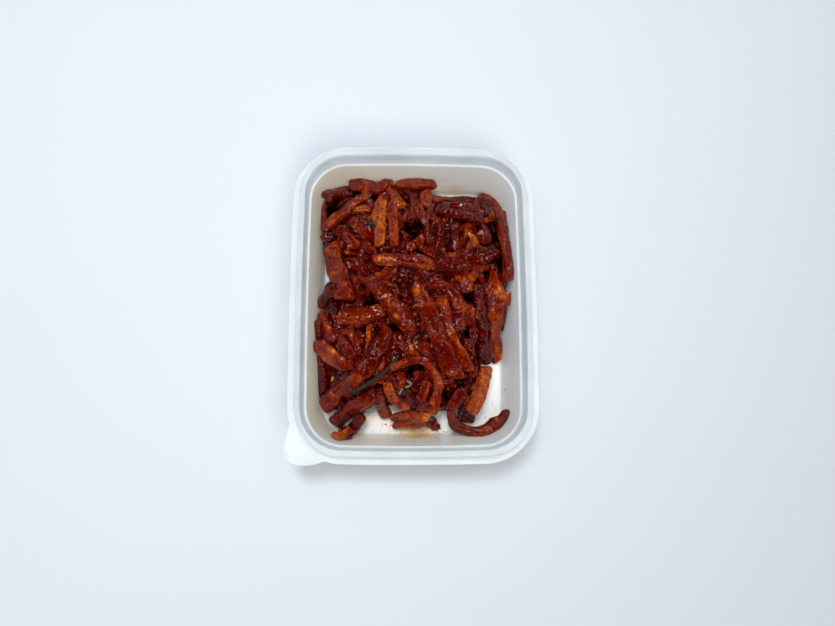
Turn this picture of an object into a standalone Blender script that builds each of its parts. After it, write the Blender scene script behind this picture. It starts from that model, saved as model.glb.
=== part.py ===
"""Kimchi of seasoned radish strips, heaped in a low translucent plastic food box.

Metres, +Z up. The origin is the middle of the box's flat base, +X runs across it and +Y along it.
"""

import math

import bmesh
import bpy
import numpy as np
from mathutils import Vector
from mathutils.bvhtree import BVHTree

MM = 0.001
MERGE_DISTANCE = 0.000001

# Box. An inset is measured inwards from the rim's outer edge, so the flange outside it has negative ones.
RIM_WIDTH = 0.109
RIM_LENGTH = 0.144
BOX_HEIGHT = 0.040
WALL = 0.0009
RIM_CORNER = 0.021
LEAST_CORNER = 0.008
SIDE_BOW = 0.0172
RIM_BAND = 0.0023
SEAL_DEPTH = 0.0097
SEAL_FLARE = 0.0012
LEDGE_WIDTH = 0.0009
LEDGE_SLOPE = 0.0004
INNER_ROWS = 7
GROOVE_ROUND = 0.0005
FLANGE_DROP = 0.0066
FLANGE_REACH = 0.00396
LIP_DROP = 0.0014
LIP_ROUND = 0.0008
LIP_TAB_SHARE = 0.93
FLOOR_INSET = 0.0082
FLOOR_FILLET = 0.0045
FLOOR_RISE = 0.0002
STAND_INSET = 0.005
CORNER_STEPS = 6
TAB_CORNER_STEPS = 12
SIDE_STEPS = 4

# Thumb tab on the flange's corner at -X, -Y.
TAB_REACH = 0.0090
TAB_HALF_WIDTH = 0.0115
TAB_ROUNDNESS = 0.42

# Heap. Strip routes are written in millimetres as they look from EYE against a level plane at READ_HEIGHT,
# so a strip that lies lower than that plane is laid further out from under the eye.
EYE = np.array((-7.65, -51.91, 323.64)) * MM
READ_HEIGHT = 0.024
FOOD_GAP = 0.00045
HIGHEST_CLIMB = 0.0265
MOST_CLIMB = 0.0040
GRID_STEP = 0.001
GRID_HALF = np.array((60, 80))

# A section of six sides is drawn a little large, to fill as much as the rounded one it stands for.
STRIP_SIDES = 6
FEW_SIDES_WIDTH = 1.08
FEW_SIDES_HEIGHT = 1.12
STATION_STEP = 0.0056
LEAST_STATIONS = 5
STRIP_THICKNESS = 0.60
END_TAPER = 0.3
ROLL_SHARE = 0.6
SINK = 0.0008
UNDER_REACH = 0.42
MOST_ROLL = math.radians(24)
CORE_TOP = 0.0170
CORE_SHARES = (0.97, 0.92, 0.82, 0.55)

# Radius of the heap's core in millimetres, every 15 degrees round from +X.
CORE_RADII = (47, 51, 56, 62, 62, 57, 65, 65, 71, 70, 53, 44, 45, 49, 53, 62, 63, 51, 52, 54, 56, 45, 43, 43)

# Each strip is its width and its route, all in millimetres, and lies on those before it. A third value is
# how far it may climb the wall, where that is more than MOST_CLIMB.
LOWER_STRIPS = (
    (4.5, ((-43.5, 50), (-44, 42), (-43.5, 34))),
    (3.8, ((-31, 46.5), (-25, 47), (-19.5, 46.5))),
    (6.5, ((-31, 42), (-26, 38), (-21, 31))),
    (6.0, ((-38, 37), (-33, 33.5), (-27, 27))),
    (5.5, ((12.5, 41), (12.5, 31), (13, 21))),
    (5.5, ((19.5, 41), (20, 33), (20.5, 26))),
    (8.0, ((27.5, 39), (33, 37), (38, 30))),
    (5.5, ((25, -16), (27, -26), (28.5, -36))),
    (4.0, ((43, -1), (43.5, -7), (42.5, -13))),
    (4.0, ((-6.5, -33), (-6, -37), (-5.5, -41.5))),
    (4.5, ((5.5, -37), (4.5, -42), (2.5, -47))),
    (6.5, ((-18, -43), (-15, -49), (-12, -55))),
    (5.0, ((-45, -27), (-45.5, -36), (-45, -46))),
    (8.0, ((-37, -17), (-33, -22), (-30, -28))),
    (5.0, ((3, -52), (7.5, -57), (11, -57.5))),
    (7.5, ((24, -41), (20.5, -45.5), (17, -51))),
    (5.5, ((-39, 1), (-38, -6), (-37, -13))),
    (7.0, ((-31, 14), (-28, 7), (-25, 1))),
    (5.0, ((-9, -14), (-6, -19), (-3, -24))),
)
MIDDLE_STRIPS = (
    (8.0, ((-45.5, 53.5), (-38, 55.5), (-30, 56.5)), 8),
    (7.5, ((-33, 62), (-27, 63), (-19, 62)), 14),
    (7.0, ((-9, 62.5), (-1, 64), (12, 61)), 14),
    (6.0, ((5.5, 58), (6, 54), (7, 48))),
    (4.5, ((9, 53), (20, 52.5), (32, 52))),
    (4.2, ((0, 51), (5, 43), (7.5, 29))),
    (5.0, ((-3, 26), (1, 30), (5, 34))),
    (6.5, ((-15, 56), (-17, 42), (-17, 28))),
    (5.8, ((-10.5, 53), (-10, 42), (-9.5, 28))),
    (5.0, ((-10, 63), (-13.5, 60), (-10, 55), (-4.5, 48))),
    (9.0, ((13, 48.5), (24, 46), (35, 43))),
    (5.2, ((32, 49), (34.5, 55), (38.5, 53), (41, 45), (35, 42.5))),
    (6.8, ((38.5, 17), (40.5, 4), (39.5, -12), (40, -29))),
    (8.0, ((33.5, -19), (34, -25), (34, -30))),
    (7.0, ((21, 15), (25, 10), (27.5, 5))),
    (4.5, ((43, 1), (47, 4), (49, -1.5))),
    (9.5, ((-41, 29), (-37.5, 16), (-32, 1))),
    (6.5, ((-38, 9), (-42, 3), (-45.5, -3))),
    (7.0, ((-45.5, -4), (-42.5, -12), (-38, -19))),
    (4.0, ((-47.3, -8), (-47.3, -19), (-43.5, -31))),
    (7.5, ((-46, -18), (-40, -26), (-31.5, -30))),
    (4.5, ((-30.5, -13), (-27.5, -21), (-25, -33))),
    (2.6, ((-20.5, -10), (-22, -17), (-22.5, -25))),
    (8.0, ((-12.5, -11), (-17, -22), (-25, -37))),
    (8.5, ((-24, -35), (-35, -42.5), (-44.5, -51)), 10),
    (8.5, ((-18, -43), (-28, -50), (-37.5, -58)), 10),
    (7.0, ((-23, -54), (-29, -60.5), (-34.5, -65.5)), 16),
    (4.0, ((-29, -60), (-35, -64.5), (-39, -65)), 16),
    (4.5, ((-13, -38), (-10, -46), (-2, -50.5))),
    (5.0, ((-11, -56), (-2, -54), (8, -54.5))),
    (8.0, ((28, -45), (26, -51), (24, -57))),
    (6.5, ((7, 10.5), (16.5, 8), (21.5, -1), (22.5, -14))),
    (6.0, ((13, 3.5), (17, -11), (26.5, -33))),
    (6.5, ((31, 10), (32.5, -4), (33.8, -18))),
)
TOP_STRIPS = (
    (5.5, ((-44.5, 35.5), (-30, 49.5), (-12, 62))),
    (6.8, ((43.5, 47), (47.5, 37), (47.7, 24), (46.3, 10.5)), 10),
    (7.0, ((-20.5, 21.5), (-5, 21), (12.5, 18.5))),
    (9.0, ((11, 19.5), (25, 20.5), (42, 27))),
    (9.0, ((-22, 13), (-12, 0.5), (1, -15.5))),
    (9.5, ((0, 11), (9, -10), (21, -37))),
    (7.3, ((-37, -7.5), (-26, -6), (-14.5, -3.5))),
    (4.4, ((-11, -32.5), (0, -27.5), (9, -31.5), (11.8, -42), (8.5, -53))),
    (9.0, ((35.5, -30.5), (32, -42), (27, -53))),
    (6.5, ((17, -51), (21, -59.5), (30, -62), (39, -58.5), (46, -51)), 16),
)

# Strips that show only in the gaps of the ones above are laid first, spread by the golden angle.
UNDER_SEED = 7
UNDER_COUNT = 24
UNDER_SPREAD = np.array((44, 60))
UNDER_WIDTHS = (5.5, 8.0)
UNDER_LENGTHS = (20, 34)
UNDER_BEND = 4
GOLDEN_ANGLE = math.pi * (3 - math.sqrt(5))

STEM_WIDTH = 2.2
STEM_ROUTE = ((-29.5, -43.5), (-21, -38.5), (-13, -32.5), (-7, -25))
SEED_SIZE = np.array((0.0016, 0.0011, 0.0007))
SEED_SINK = 0.0003
SEED_PLACES = ((-13.5, 4), (-39.5, -36))

POLYPROPYLENE_COLOUR = (0.80, 0.83, 0.84, 1.0)
RED_PEPPER_COLOUR = (0.17, 0.02, 0.005, 1.0)


def clear_objects():
    for item in list(bpy.data.objects):
        bpy.data.objects.remove(item, do_unlink=True)


def make_collection(name):
    collection = bpy.data.collections.new(name)
    bpy.context.scene.collection.children.link(collection)
    return collection


def principled(name, colour, roughness):
    material = bpy.data.materials.new(name)
    material.use_nodes = True
    shader = material.node_tree.nodes["Principled BSDF"]
    shader.inputs["Base Color"].default_value = colour
    shader.inputs["Roughness"].default_value = roughness
    shader.inputs["Metallic"].default_value = 0.0
    return material


def mesh_object(name, points, faces, collection):
    mesh = bpy.data.meshes.new(name)
    mesh.from_pydata([tuple(point) for point in points], [], [tuple(map(int, face)) for face in faces])
    mesh.update()
    item = bpy.data.objects.new(name, mesh)
    collection.objects.link(item)
    return item


def outline_angles():
    """Corner angles round the outline, with finer steps on the corner that carries the tab."""
    steps = (CORNER_STEPS, CORNER_STEPS, TAB_CORNER_STEPS, CORNER_STEPS)
    return [np.radians(90 * corner + np.linspace(0, 90, count + 1)) for corner, count in enumerate(steps)]


def box_outline(inset):
    """The box's outline at an inset: a rounded rectangle whose sides bow out in the middle."""
    half = np.array((RIM_WIDTH, RIM_LENGTH)) / 2 - inset
    radius = max(RIM_CORNER - inset, LEAST_CORNER)
    signs = ((1, 1), (-1, 1), (-1, -1), (1, -1))
    corners = []
    for sign, angle in zip(signs, outline_angles()):
        centre = np.array(sign) * (half - radius)
        corners.append(centre + radius * np.stack([np.cos(angle), np.sin(angle)], axis=1))
    part = np.linspace(0, 1, SIDE_STEPS + 1)[1:-1, None]
    sides = [a[-1] + part * (b[0] - a[-1]) for a, b in zip(corners, corners[1:] + corners[:1])]
    points = np.concatenate([piece for pair in zip(corners, sides) for piece in pair])
    share = (points / half) ** 2
    return points * (1 - SIDE_BOW * share[:, ::-1])


def tab_push(points):
    """How far the flange's edge is pushed out along the diagonal: a round lobe with hollow sides."""
    diagonal = np.array((-1, -1)) / math.sqrt(2)
    corner = points[np.argmax(points @ diagonal)]
    across = np.abs((points - corner) @ np.array((1, -1)) / math.sqrt(2)) / TAB_HALF_WIDTH
    share = np.clip(across, 0, 1)
    lobe = (1 - share * share * (3 - 2 * share)) ** TAB_ROUNDNESS
    lobe[points @ diagonal < 0] = 0
    return TAB_REACH * lobe[:, None] * diagonal


def standing_outline():
    """The edge of the face that the box stands on: each corner's ends and middle, repeated for the outline's
    other points, which are merged with them afterwards."""
    kept = []
    start = 0
    for angle in outline_angles():
        steps = len(angle) - 1
        half = steps // 2
        kept += list(start + np.rint(np.arange(steps + 1) / half).astype(int) * half)
        after = start + steps + SIDE_STEPS
        kept += [start + steps if step <= SIDE_STEPS // 2 else after for step in range(1, SIDE_STEPS)]
        start = after
    outline = box_outline(FLOOR_INSET + FLOOR_FILLET + STAND_INSET)
    return outline[np.array(kept) % len(outline)]


def box_profile():
    """The box's inner and upper face from the floor's edge to lip: inset, height, share of the tab's push."""
    fillet = np.radians((0, 30, 60, 90))
    floor_inset = FLOOR_INSET + FLOOR_FILLET * (1 - np.sin(fillet))
    floor_height = WALL + FLOOR_RISE + FLOOR_FILLET * (1 - np.cos(fillet))
    rows = [(inset, height, 0) for inset, height in zip(floor_inset, floor_height)]
    ledge = BOX_HEIGHT - SEAL_DEPTH
    flange = BOX_HEIGHT - FLANGE_DROP
    rows += [
        (RIM_BAND + SEAL_FLARE + LEDGE_WIDTH, ledge - LEDGE_SLOPE, 0),
        (RIM_BAND + SEAL_FLARE, ledge, 0),
        (RIM_BAND, BOX_HEIGHT, 0),
        (0, BOX_HEIGHT, 0),
        (0, flange + GROOVE_ROUND, 0),
        (-GROOVE_ROUND, flange, 0),
        (-FLANGE_REACH + LIP_ROUND, flange, LIP_TAB_SHARE),
        (-FLANGE_REACH, flange - LIP_ROUND / 2, 1),
        (-FLANGE_REACH, flange - LIP_DROP, 1),
    ]
    return rows


def merge_points(item):
    shape = bmesh.new()
    shape.from_mesh(item.data)
    bmesh.ops.remove_doubles(shape, verts=shape.verts, dist=MERGE_DISTANCE)
    shape.to_mesh(item.data)
    shape.free()


def build_box(collection):
    rings = [np.column_stack([standing_outline(), np.full(len(box_outline(0)), WALL)])]
    for inset, height, tab_share in box_profile():
        ring = box_outline(inset)
        ring = ring + tab_share * tab_push(box_outline(-FLANGE_REACH))
        rings.append(np.column_stack([ring, np.full(len(ring), height)]))
    count = len(rings[0])
    step = np.arange(count)
    ahead = (step + 1) % count
    faces = [tuple(range(count))]
    for row in range(len(rings) - 1):
        low = row * count
        faces += list(zip(low + step, low + count + step, low + count + ahead, low + ahead))
    box = mesh_object("tub", np.concatenate(rings), faces, collection)
    merge_points(box)
    shell = box.modifiers.new("wall", "SOLIDIFY")
    shell.thickness = WALL
    shell.offset = -1
    shell.use_even_offset = True
    box.data.shade_smooth()
    box.data.set_sharp_from_angle(angle=math.radians(35))
    box.data.materials.append(principled("polypropylene", POLYPROPYLENE_COLOUR, 0.35))
    return box


def wall_inset(height):
    """The inner wall's inset at a height, from the profile's rows below the rim."""
    rows = np.array(box_profile()[:INNER_ROWS])
    return np.interp(height, rows[:, 1], rows[:, 0])


def rim_inset(plan):
    """How far inside the rim's outer edge a plan point is, measured square to the nearest side or corner."""
    half = np.array((RIM_WIDTH, RIM_LENGTH)) / 2
    bow = 1 - SIDE_BOW * np.clip(np.abs(plan) / half, 0, 1)[:, ::-1] ** 2
    reach = np.abs(plan / bow) - (half - RIM_CORNER)
    outside = np.linalg.norm(np.maximum(reach, 0), axis=1)
    return RIM_CORNER - outside - np.minimum(reach.max(axis=1), 0)


def wall_climb(plan, room):
    """The height at which the sloping wall leaves this much room outside a plan point."""
    heights = np.linspace(WALL, HIGHEST_CLIMB, 40)
    insets = wall_inset(heights)
    return np.interp(-(rim_inset(plan) - room), -insets, heights)


def keep_inside(points, room=0.0):
    """Pulls points in to FOOD_GAP, and any more room asked for, from the box's inner wall and floor."""
    points = points.copy()
    points[:, 2] = np.maximum(points[:, 2], WALL + FOOD_GAP)
    inset = wall_inset(points[:, 2]) + FOOD_GAP + room
    half = np.array((RIM_WIDTH, RIM_LENGTH)) / 2 - inset[:, None]
    radius = np.maximum(RIM_CORNER - inset, LEAST_CORNER)[:, None]
    bow = 1 - SIDE_BOW * np.clip(np.abs(points[:, :2]) / half, 0, 1)[:, ::-1] ** 2
    flat = points[:, :2] / bow
    reach = np.clip(np.abs(flat), 0, half) - (half - radius)
    length = np.linalg.norm(np.maximum(reach, 0), axis=1, keepdims=True)
    shrink = np.minimum(1, radius / np.maximum(length, 1e-9))
    reach = np.where(reach > 0, reach * shrink, reach)
    points[:, :2] = np.sign(flat) * (reach + half - radius) * bow
    return points


def smooth_route(points, count):
    """An even run of points on the cubic curve through the given ones (Catmull-Rom)."""
    given = np.array(points, dtype=float)
    given = np.vstack([2 * given[0] - given[1], given, 2 * given[-1] - given[-2]])
    place = np.linspace(0, len(points) - 1, 12 * len(points))
    span = np.minimum(place.astype(int), len(points) - 2)
    part = (place - span)[:, None]
    before, start, end, after = (given[span + offset] for offset in range(4))
    curve = 0.5 * (2 * start + (end - before) * part
                   + (2 * before - 5 * start + 4 * end - after) * part ** 2
                   + (3 * start - before - 3 * end + after) * part ** 3)
    run = np.concatenate([[0], np.cumsum(np.linalg.norm(np.diff(curve, axis=0), axis=1))])
    even = np.linspace(0, run[-1], count)
    return np.column_stack([np.interp(even, run, curve[:, axis]) for axis in range(2)])


def grid_index(plan):
    """The height grid's cell under each plan point."""
    cell = np.rint(plan / GRID_STEP).astype(int) + GRID_HALF
    return tuple(np.clip(cell, 0, 2 * GRID_HALF).reshape(-1, 2).T)


def soften(values):
    """One pass of a 1-2-1 average along a strip."""
    padded = np.concatenate([values[:1], values, values[-1:]])
    return 0.25 * padded[:-2] + 0.5 * padded[1:-1] + 0.25 * padded[2:]


def drape(route, width, thickness, most_climb, heights):
    """Lays a strip over the heights below it, climbing the wall where it runs out to it.

    Returns its middle line, its crosswise direction and its roll at each station.
    """
    rough = np.linalg.norm(np.diff(np.array(route), axis=0), axis=1).sum() * MM
    stations = max(LEAST_STATIONS, round(rough / STATION_STEP))
    seen = smooth_route(route, stations) * MM
    middle = np.column_stack([seen, np.full(stations, READ_HEIGHT)])
    for _ in range(3):
        lift = (EYE[2] - middle[:, 2:]) / (EYE[2] - READ_HEIGHT)
        middle[:, :2] = EYE[:2] + (seen - EYE[:2]) * lift
        climb = wall_climb(middle[:, :2], 0.5 * thickness + FOOD_GAP)
        middle[:, :2] = keep_inside(middle, 0.5 * thickness)[:, :2]
        along = np.gradient(middle[:, :2], axis=0)
        along /= np.linalg.norm(along, axis=1, keepdims=True)
        across = np.column_stack([-along[:, 1], along[:, 0]])
        offsets = np.linspace(-UNDER_REACH, UNDER_REACH, 5) * width
        under = middle[:, None, :2] + offsets[None, :, None] * across[:, None, :]
        below = heights[grid_index(under)].reshape(stations, 5)
        support = 0.5 * below.max(axis=1) + 0.5 * below.mean(axis=1) + 0.5 * thickness - SINK
        support = np.maximum(support, np.minimum(climb, support + most_climb))
        for _ in range(2):
            support = np.maximum(support, soften(support))
        middle[:, 2] = soften(support)
    roll = np.arctan2(below[:, 4] - below[:, 0], 2 * UNDER_REACH * width) * ROLL_SHARE
    roll = soften(soften(np.clip(roll, -MOST_ROLL, MOST_ROLL)))
    return middle, across, roll


def strip_points(route, width, thickness, most_climb, heights, sides):
    """A strip's rings of points: a flat rounded section carried along the draped line, narrower at its ends."""
    middle, across, roll = drape(route, width, thickness, most_climb, heights)
    side = np.column_stack([across * np.cos(roll)[:, None], np.sin(roll)])
    along = np.gradient(middle, axis=0)
    along /= np.linalg.norm(along, axis=1, keepdims=True)
    up = np.cross(along, side)
    up *= np.sign(up[:, 2:])
    place = np.linspace(-1, 1, len(middle))
    taper = 1 - END_TAPER * np.abs(place) ** 7
    turn = 2 * math.pi * (np.arange(sides) + 0.5) / sides
    wide = 0.5 * width * FEW_SIDES_WIDTH * np.cos(turn)
    tall = 0.5 * thickness * FEW_SIDES_HEIGHT * np.sin(turn)
    points = (middle[:, None, :]
              + (taper[:, None] * wide)[:, :, None] * side[:, None, :]
              + (taper[:, None] * tall)[:, :, None] * up[:, None, :])
    return points, middle, across


def raise_heights(heights, middle, across, width, thickness):
    """Writes a laid strip's rounded top into the heights."""
    fine = np.linspace(0, len(middle) - 1, 5 * len(middle))
    line = np.column_stack([np.interp(fine, np.arange(len(middle)), middle[:, axis]) for axis in range(3)])
    side = np.column_stack([np.interp(fine, np.arange(len(middle)), across[:, axis]) for axis in range(2)])
    share = np.linspace(-1, 1, 13)
    plan = line[:, None, :2] + 0.5 * width * share[None, :, None] * side[:, None, :]
    top = line[:, 2:] + 0.5 * thickness * np.sqrt(1 - 0.8 * share ** 4)[None, :]
    np.maximum.at(heights, grid_index(plan), top.ravel())


def tube_faces(rings, sides):
    """Quads between neighbouring rings, and a flat cap on each end."""
    ring = np.arange(rings - 1)[:, None] * sides
    step = np.arange(sides)[None, :]
    ahead = (step + 1) % sides
    quads = np.stack([ring + step, ring + ahead, ring + sides + ahead, ring + sides + step], axis=-1)
    first = tuple(range(sides))[::-1]
    last = tuple((rings - 1) * sides + number for number in range(sides))
    return [tuple(quad) for quad in quads.reshape(-1, 4)] + [first, last]


def face_outwards(item):
    shape = bmesh.new()
    shape.from_mesh(item.data)
    bmesh.ops.recalc_face_normals(shape, faces=shape.faces)
    shape.to_mesh(item.data)
    shape.free()


def core_radius(angle):
    """The core's plan radius at an angle, on a smooth closed curve through CORE_RADII."""
    count = len(CORE_RADII)
    place = (angle / (2 * math.pi) * count) % count
    index = place.astype(int)
    part = place - index
    before, start, end, after = (np.array(CORE_RADII)[(index + offset) % count] for offset in (-1, 0, 1, 2))
    radius = 0.5 * (2 * start + (end - before) * part
                    + (2 * before - 5 * start + 4 * end - after) * part ** 2
                    + (3 * start - before - 3 * end + after) * part ** 3)
    return radius * MM


def core_height(share):
    """The core's top at a share of its radius: level in the middle, round at the shoulder."""
    return WALL + FOOD_GAP + (CORE_TOP - WALL - FOOD_GAP) * np.sqrt(np.clip(1 - share ** 9, 0, 1))


def build_core(collection, heights):
    angle = np.linspace(0, 2 * math.pi, 2 * len(CORE_RADII), endpoint=False)
    outline = np.column_stack([np.cos(angle), np.sin(angle)]) * core_radius(angle)[:, None]
    rings = [np.column_stack([outline * 0.93, np.full(len(angle), WALL + FOOD_GAP)])]
    rings.append(np.column_stack([outline, np.full(len(angle), 0.35 * CORE_TOP)]))
    for share in CORE_SHARES:
        rings.append(np.column_stack([outline * share, np.full(len(angle), core_height(share))]))
    points = keep_inside(np.concatenate(rings))
    faces = [tuple(map(int, face)) for face in tube_faces(len(rings), len(angle))]
    core = mesh_object("core", points, faces, collection)
    face_outwards(core)
    tree = BVHTree.FromPolygons([Vector(point) for point in points], [list(face) for face in faces])
    for cell in np.ndindex(*heights.shape):
        above = Vector((*((np.array(cell) - GRID_HALF) * GRID_STEP), BOX_HEIGHT))
        hit = tree.ray_cast(above, Vector((0, 0, -1)))[0]
        heights[cell] = hit.z if hit else WALL + FOOD_GAP
    return core


def under_strips():
    """Slightly bent strips in all directions, evenly spread over the core by a golden-angle spiral."""
    draw = np.random.default_rng(UNDER_SEED)
    strips = []
    for number in range(UNDER_COUNT):
        turn = number * GOLDEN_ANGLE
        middle = UNDER_SPREAD * math.sqrt((number + 0.5) / UNDER_COUNT) * np.array((math.cos(turn), math.sin(turn)))
        width = draw.uniform(*UNDER_WIDTHS)
        length = draw.uniform(*UNDER_LENGTHS)
        angle = draw.uniform(0, math.pi)
        along = 0.5 * length * np.array((math.cos(angle), math.sin(angle)))
        bend = draw.uniform(-UNDER_BEND, UNDER_BEND) * np.array((-math.sin(angle), math.cos(angle)))
        route = np.array((middle - along, middle + bend, middle + along))
        reach = core_radius(np.arctan2(route[:, 1], route[:, 0]) % (2 * math.pi)) / MM - 0.5 * width
        route *= np.minimum(1, reach / np.linalg.norm(route, axis=1))[:, None]
        strips.append((width, route))
    return tuple(strips)


def build_strip(name, route, width, thickness, most_climb, heights, collection):
    points, middle, across = strip_points(route, width, thickness, most_climb, heights, STRIP_SIDES)
    raise_heights(heights, middle, across, width, thickness)
    faces = tube_faces(len(middle), STRIP_SIDES)
    strip = mesh_object(name, keep_inside(points.reshape(-1, 3)), faces, collection)
    face_outwards(strip)
    return strip


def build_seed(name, place, heights, collection):
    """A sesame seed: a small flat ball, sunk over half in what it lies on."""
    plan = np.array(place) * MM
    shape = bmesh.new()
    bmesh.ops.create_uvsphere(shape, u_segments=6, v_segments=4, radius=1)
    height = heights[grid_index(plan[None, :])][0] - SEED_SINK
    for vertex in shape.verts:
        vertex.co = np.array(vertex.co) * SEED_SIZE + np.array((*plan, height))
    mesh = bpy.data.meshes.new(name)
    shape.to_mesh(mesh)
    shape.free()
    seed = bpy.data.objects.new(name, mesh)
    collection.objects.link(seed)
    return seed


def largest_closed_body(item):
    """Keeps the heap's one outer skin: sealed hollows are filled and loose scraps dropped."""
    shape = bmesh.new()
    shape.from_mesh(item.data)
    bmesh.ops.triangulate(shape, faces=shape.faces)
    left = set(shape.faces)
    bodies = []
    while left:
        body = []
        front = [left.pop()]
        while front:
            face = front.pop()
            body.append(face)
            near = {other for edge in face.edges for other in edge.link_faces} & left
            front += near
            left -= near
        bodies.append(body)
    bodies.sort(key=len)
    for body in bodies[:-1]:
        bmesh.ops.delete(shape, geom=body, context="FACES")
    shape.to_mesh(item.data)
    shape.free()
    return len(bodies) - 1


def build_heap(collection):
    pieces = make_collection("heap pieces")
    heights = np.zeros(2 * GRID_HALF + 1)
    core = build_core(collection, heights)
    for number, strip in enumerate(under_strips() + LOWER_STRIPS + MIDDLE_STRIPS + TOP_STRIPS):
        width = strip[0] * MM
        most_climb = strip[2] * MM if len(strip) > 2 else MOST_CLIMB
        build_strip(f"strip_{number:02d}", strip[1], width, STRIP_THICKNESS * width, most_climb, heights, pieces)
    stem = STEM_WIDTH * MM
    build_strip("stem", STEM_ROUTE, stem, stem, MOST_CLIMB, heights, pieces)
    for number, place in enumerate(SEED_PLACES):
        build_seed(f"seed_{number}", place, heights, pieces)

    join = core.modifiers.new("join", "BOOLEAN")
    join.operation = "UNION"
    join.operand_type = "COLLECTION"
    join.collection = pieces
    join.solver = "MANIFOLD"
    join.use_self = False
    bpy.context.view_layer.update()
    fused = bpy.data.meshes.new_from_object(core.evaluated_get(bpy.context.evaluated_depsgraph_get()))
    for item in list(pieces.objects) + [core]:
        bpy.data.objects.remove(item, do_unlink=True)
    bpy.data.collections.remove(pieces)

    heap = bpy.data.objects.new("kimchi", fused)
    collection.objects.link(heap)
    dropped = largest_closed_body(heap)
    print("heap triangles", len(heap.data.polygons), "dropped", dropped, "top", round(float(heights.max()), 4))
    heap.data.materials.clear()
    heap.data.materials.append(principled("seasoned radish", RED_PEPPER_COLOUR, 0.3))
    heap.data.shade_smooth()
    heap.data.set_sharp_from_angle(angle=math.radians(40))
    return heap


def main():
    clear_objects()
    kimchi = make_collection("kimchi in a box")
    build_box(kimchi)
    build_heap(kimchi)


main()
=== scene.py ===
# %% [markdown]
# # Radish kimchi in a food box
# A low, thin-walled box of translucent polypropylene holds a loose wet heap of radish strips in red
# pepper paste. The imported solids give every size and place. This lesson makes what the eye sees: a smooth
# moulded box, the strips one by one with their paste, and the small things that lie on them.

import math

import bpy
import numpy as np
from mathutils import Matrix, Vector
from mathutils.bvhtree import BVHTree


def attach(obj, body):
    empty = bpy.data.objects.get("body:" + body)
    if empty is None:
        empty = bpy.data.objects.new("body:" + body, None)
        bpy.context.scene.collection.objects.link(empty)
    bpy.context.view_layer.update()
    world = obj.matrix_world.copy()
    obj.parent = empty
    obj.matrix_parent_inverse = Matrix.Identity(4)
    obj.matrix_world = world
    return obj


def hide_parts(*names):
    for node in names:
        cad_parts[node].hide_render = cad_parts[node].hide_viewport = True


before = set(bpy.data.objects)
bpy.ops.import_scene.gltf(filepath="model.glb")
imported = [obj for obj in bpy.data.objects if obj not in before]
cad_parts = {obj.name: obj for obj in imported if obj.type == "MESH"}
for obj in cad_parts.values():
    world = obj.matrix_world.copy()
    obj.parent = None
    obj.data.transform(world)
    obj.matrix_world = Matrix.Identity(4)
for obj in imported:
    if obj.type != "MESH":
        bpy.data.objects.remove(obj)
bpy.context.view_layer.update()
MM = 0.001
print("loaded nodes:", sorted(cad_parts))

# %% [markdown]
# ## Camera
# The picture was taken from close above the near side of the box. The camera stands where a fit to the
# box's edges puts it, with the lens that the fit gives, so that the box shows the same perspective.

# %% Camera
EYE = np.array((-7.65, -51.91, 323.64)) * MM
LOOKS_AT = np.array((1.41, -7.38, 40.0)) * MM
CAMERA_UP = Vector((-0.0037, 0.9879, 0.1550))
LENS_MM = 27.03

camera = bpy.data.objects.new("camera", bpy.data.cameras.new("camera"))
bpy.context.scene.collection.objects.link(camera)
backward = Vector(EYE - LOOKS_AT).normalized()
rightward = CAMERA_UP.cross(backward).normalized()
turned = Matrix((rightward, backward.cross(rightward), backward)).transposed().to_4x4()
turned.translation = Vector(EYE)
camera.matrix_world = turned
camera.data.lens = LENS_MM
camera.data.clip_start = 0.01
bpy.context.scene.camera = camera
bpy.context.scene.view_settings.view_transform = "Standard"
print("camera height above the table:", round(EYE[2], 3), "m")

# %% [markdown]
# ## Helpers for materials
# Colours are written as the screen shows them, and one function turns them into the linear values that
# light is summed in. One more function adds a node: it sets an input, or links it where a socket is given.

# %% Colour and nodes
def colour(code):
    """A hex code as a linear colour: c / 12.92 up to 0.04045, else ((c + 0.055) / 1.055) ^ 2.4."""
    parts = [int(code[place:place + 2], 16) / 255 for place in (1, 3, 5)]
    return (*(part / 12.92 if part <= 0.04045 else ((part + 0.055) / 1.055) ** 2.4 for part in parts), 1.0)


def add_node(tree, kind, values=None, **settings):
    """One shader node: settings are its own properties, and values fill its inputs by name or number."""
    node = tree.nodes.new(kind)
    for name, value in settings.items():
        setattr(node, name, value)
    for name, value in (values or {}).items():
        if isinstance(value, bpy.types.NodeSocket):
            tree.links.new(value, node.inputs[name])
        else:
            node.inputs[name].default_value = value
    return node


def new_material(name, values):
    """A Principled material with these inputs set, its node tree and its shader."""
    material = bpy.data.materials.new(name)
    material.use_nodes = True
    shader = material.node_tree.nodes["Principled BSDF"]
    for socket, value in values.items():
        shader.inputs[socket].default_value = value
    return material, material.node_tree, shader


def set_ramp(ramp, stops):
    """Fills a colour ramp with (place, hex code) stops."""
    elements = ramp.color_ramp.elements
    while len(elements) < len(stops):
        elements.new(0.5)
    for element, (place, code) in zip(elements, stops):
        element.position = place
        element.color = colour(code)


# %% [markdown]
# ## Table and light
# A pale table fills the view. The light comes from almost straight above, a little from beyond and from
# the left, so that only a short shadow falls to the near side. One very large soft lamp opens the shade.
# Six small lamps alone give the many little glints of the wet paste. The other lamps and the room are kept
# out of the glints, where they would lie on the dark food as a grey haze.

# %% Stage
TABLE_SIZE = 2.4
TABLE_DROP = 0.05 * MM
# The way across the table along which painted shade darkens its colour.
PAINTED_FALL_OFF = (-1.1, 1.3, 0.0)
GLINT_PLACES = (
    (-0.12, 0.20, 0.85), (-0.38, 0.02, 0.78), (0.34, 0.14, 0.80),
    (0.06, -0.34, 0.85), (-0.08, 0.52, 0.70), (0.02, 0.02, 0.90),
)
GLINT_SIZE = 0.06
GLINT_POWER = 0.42
ROOM_LIGHT = 0.32

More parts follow.
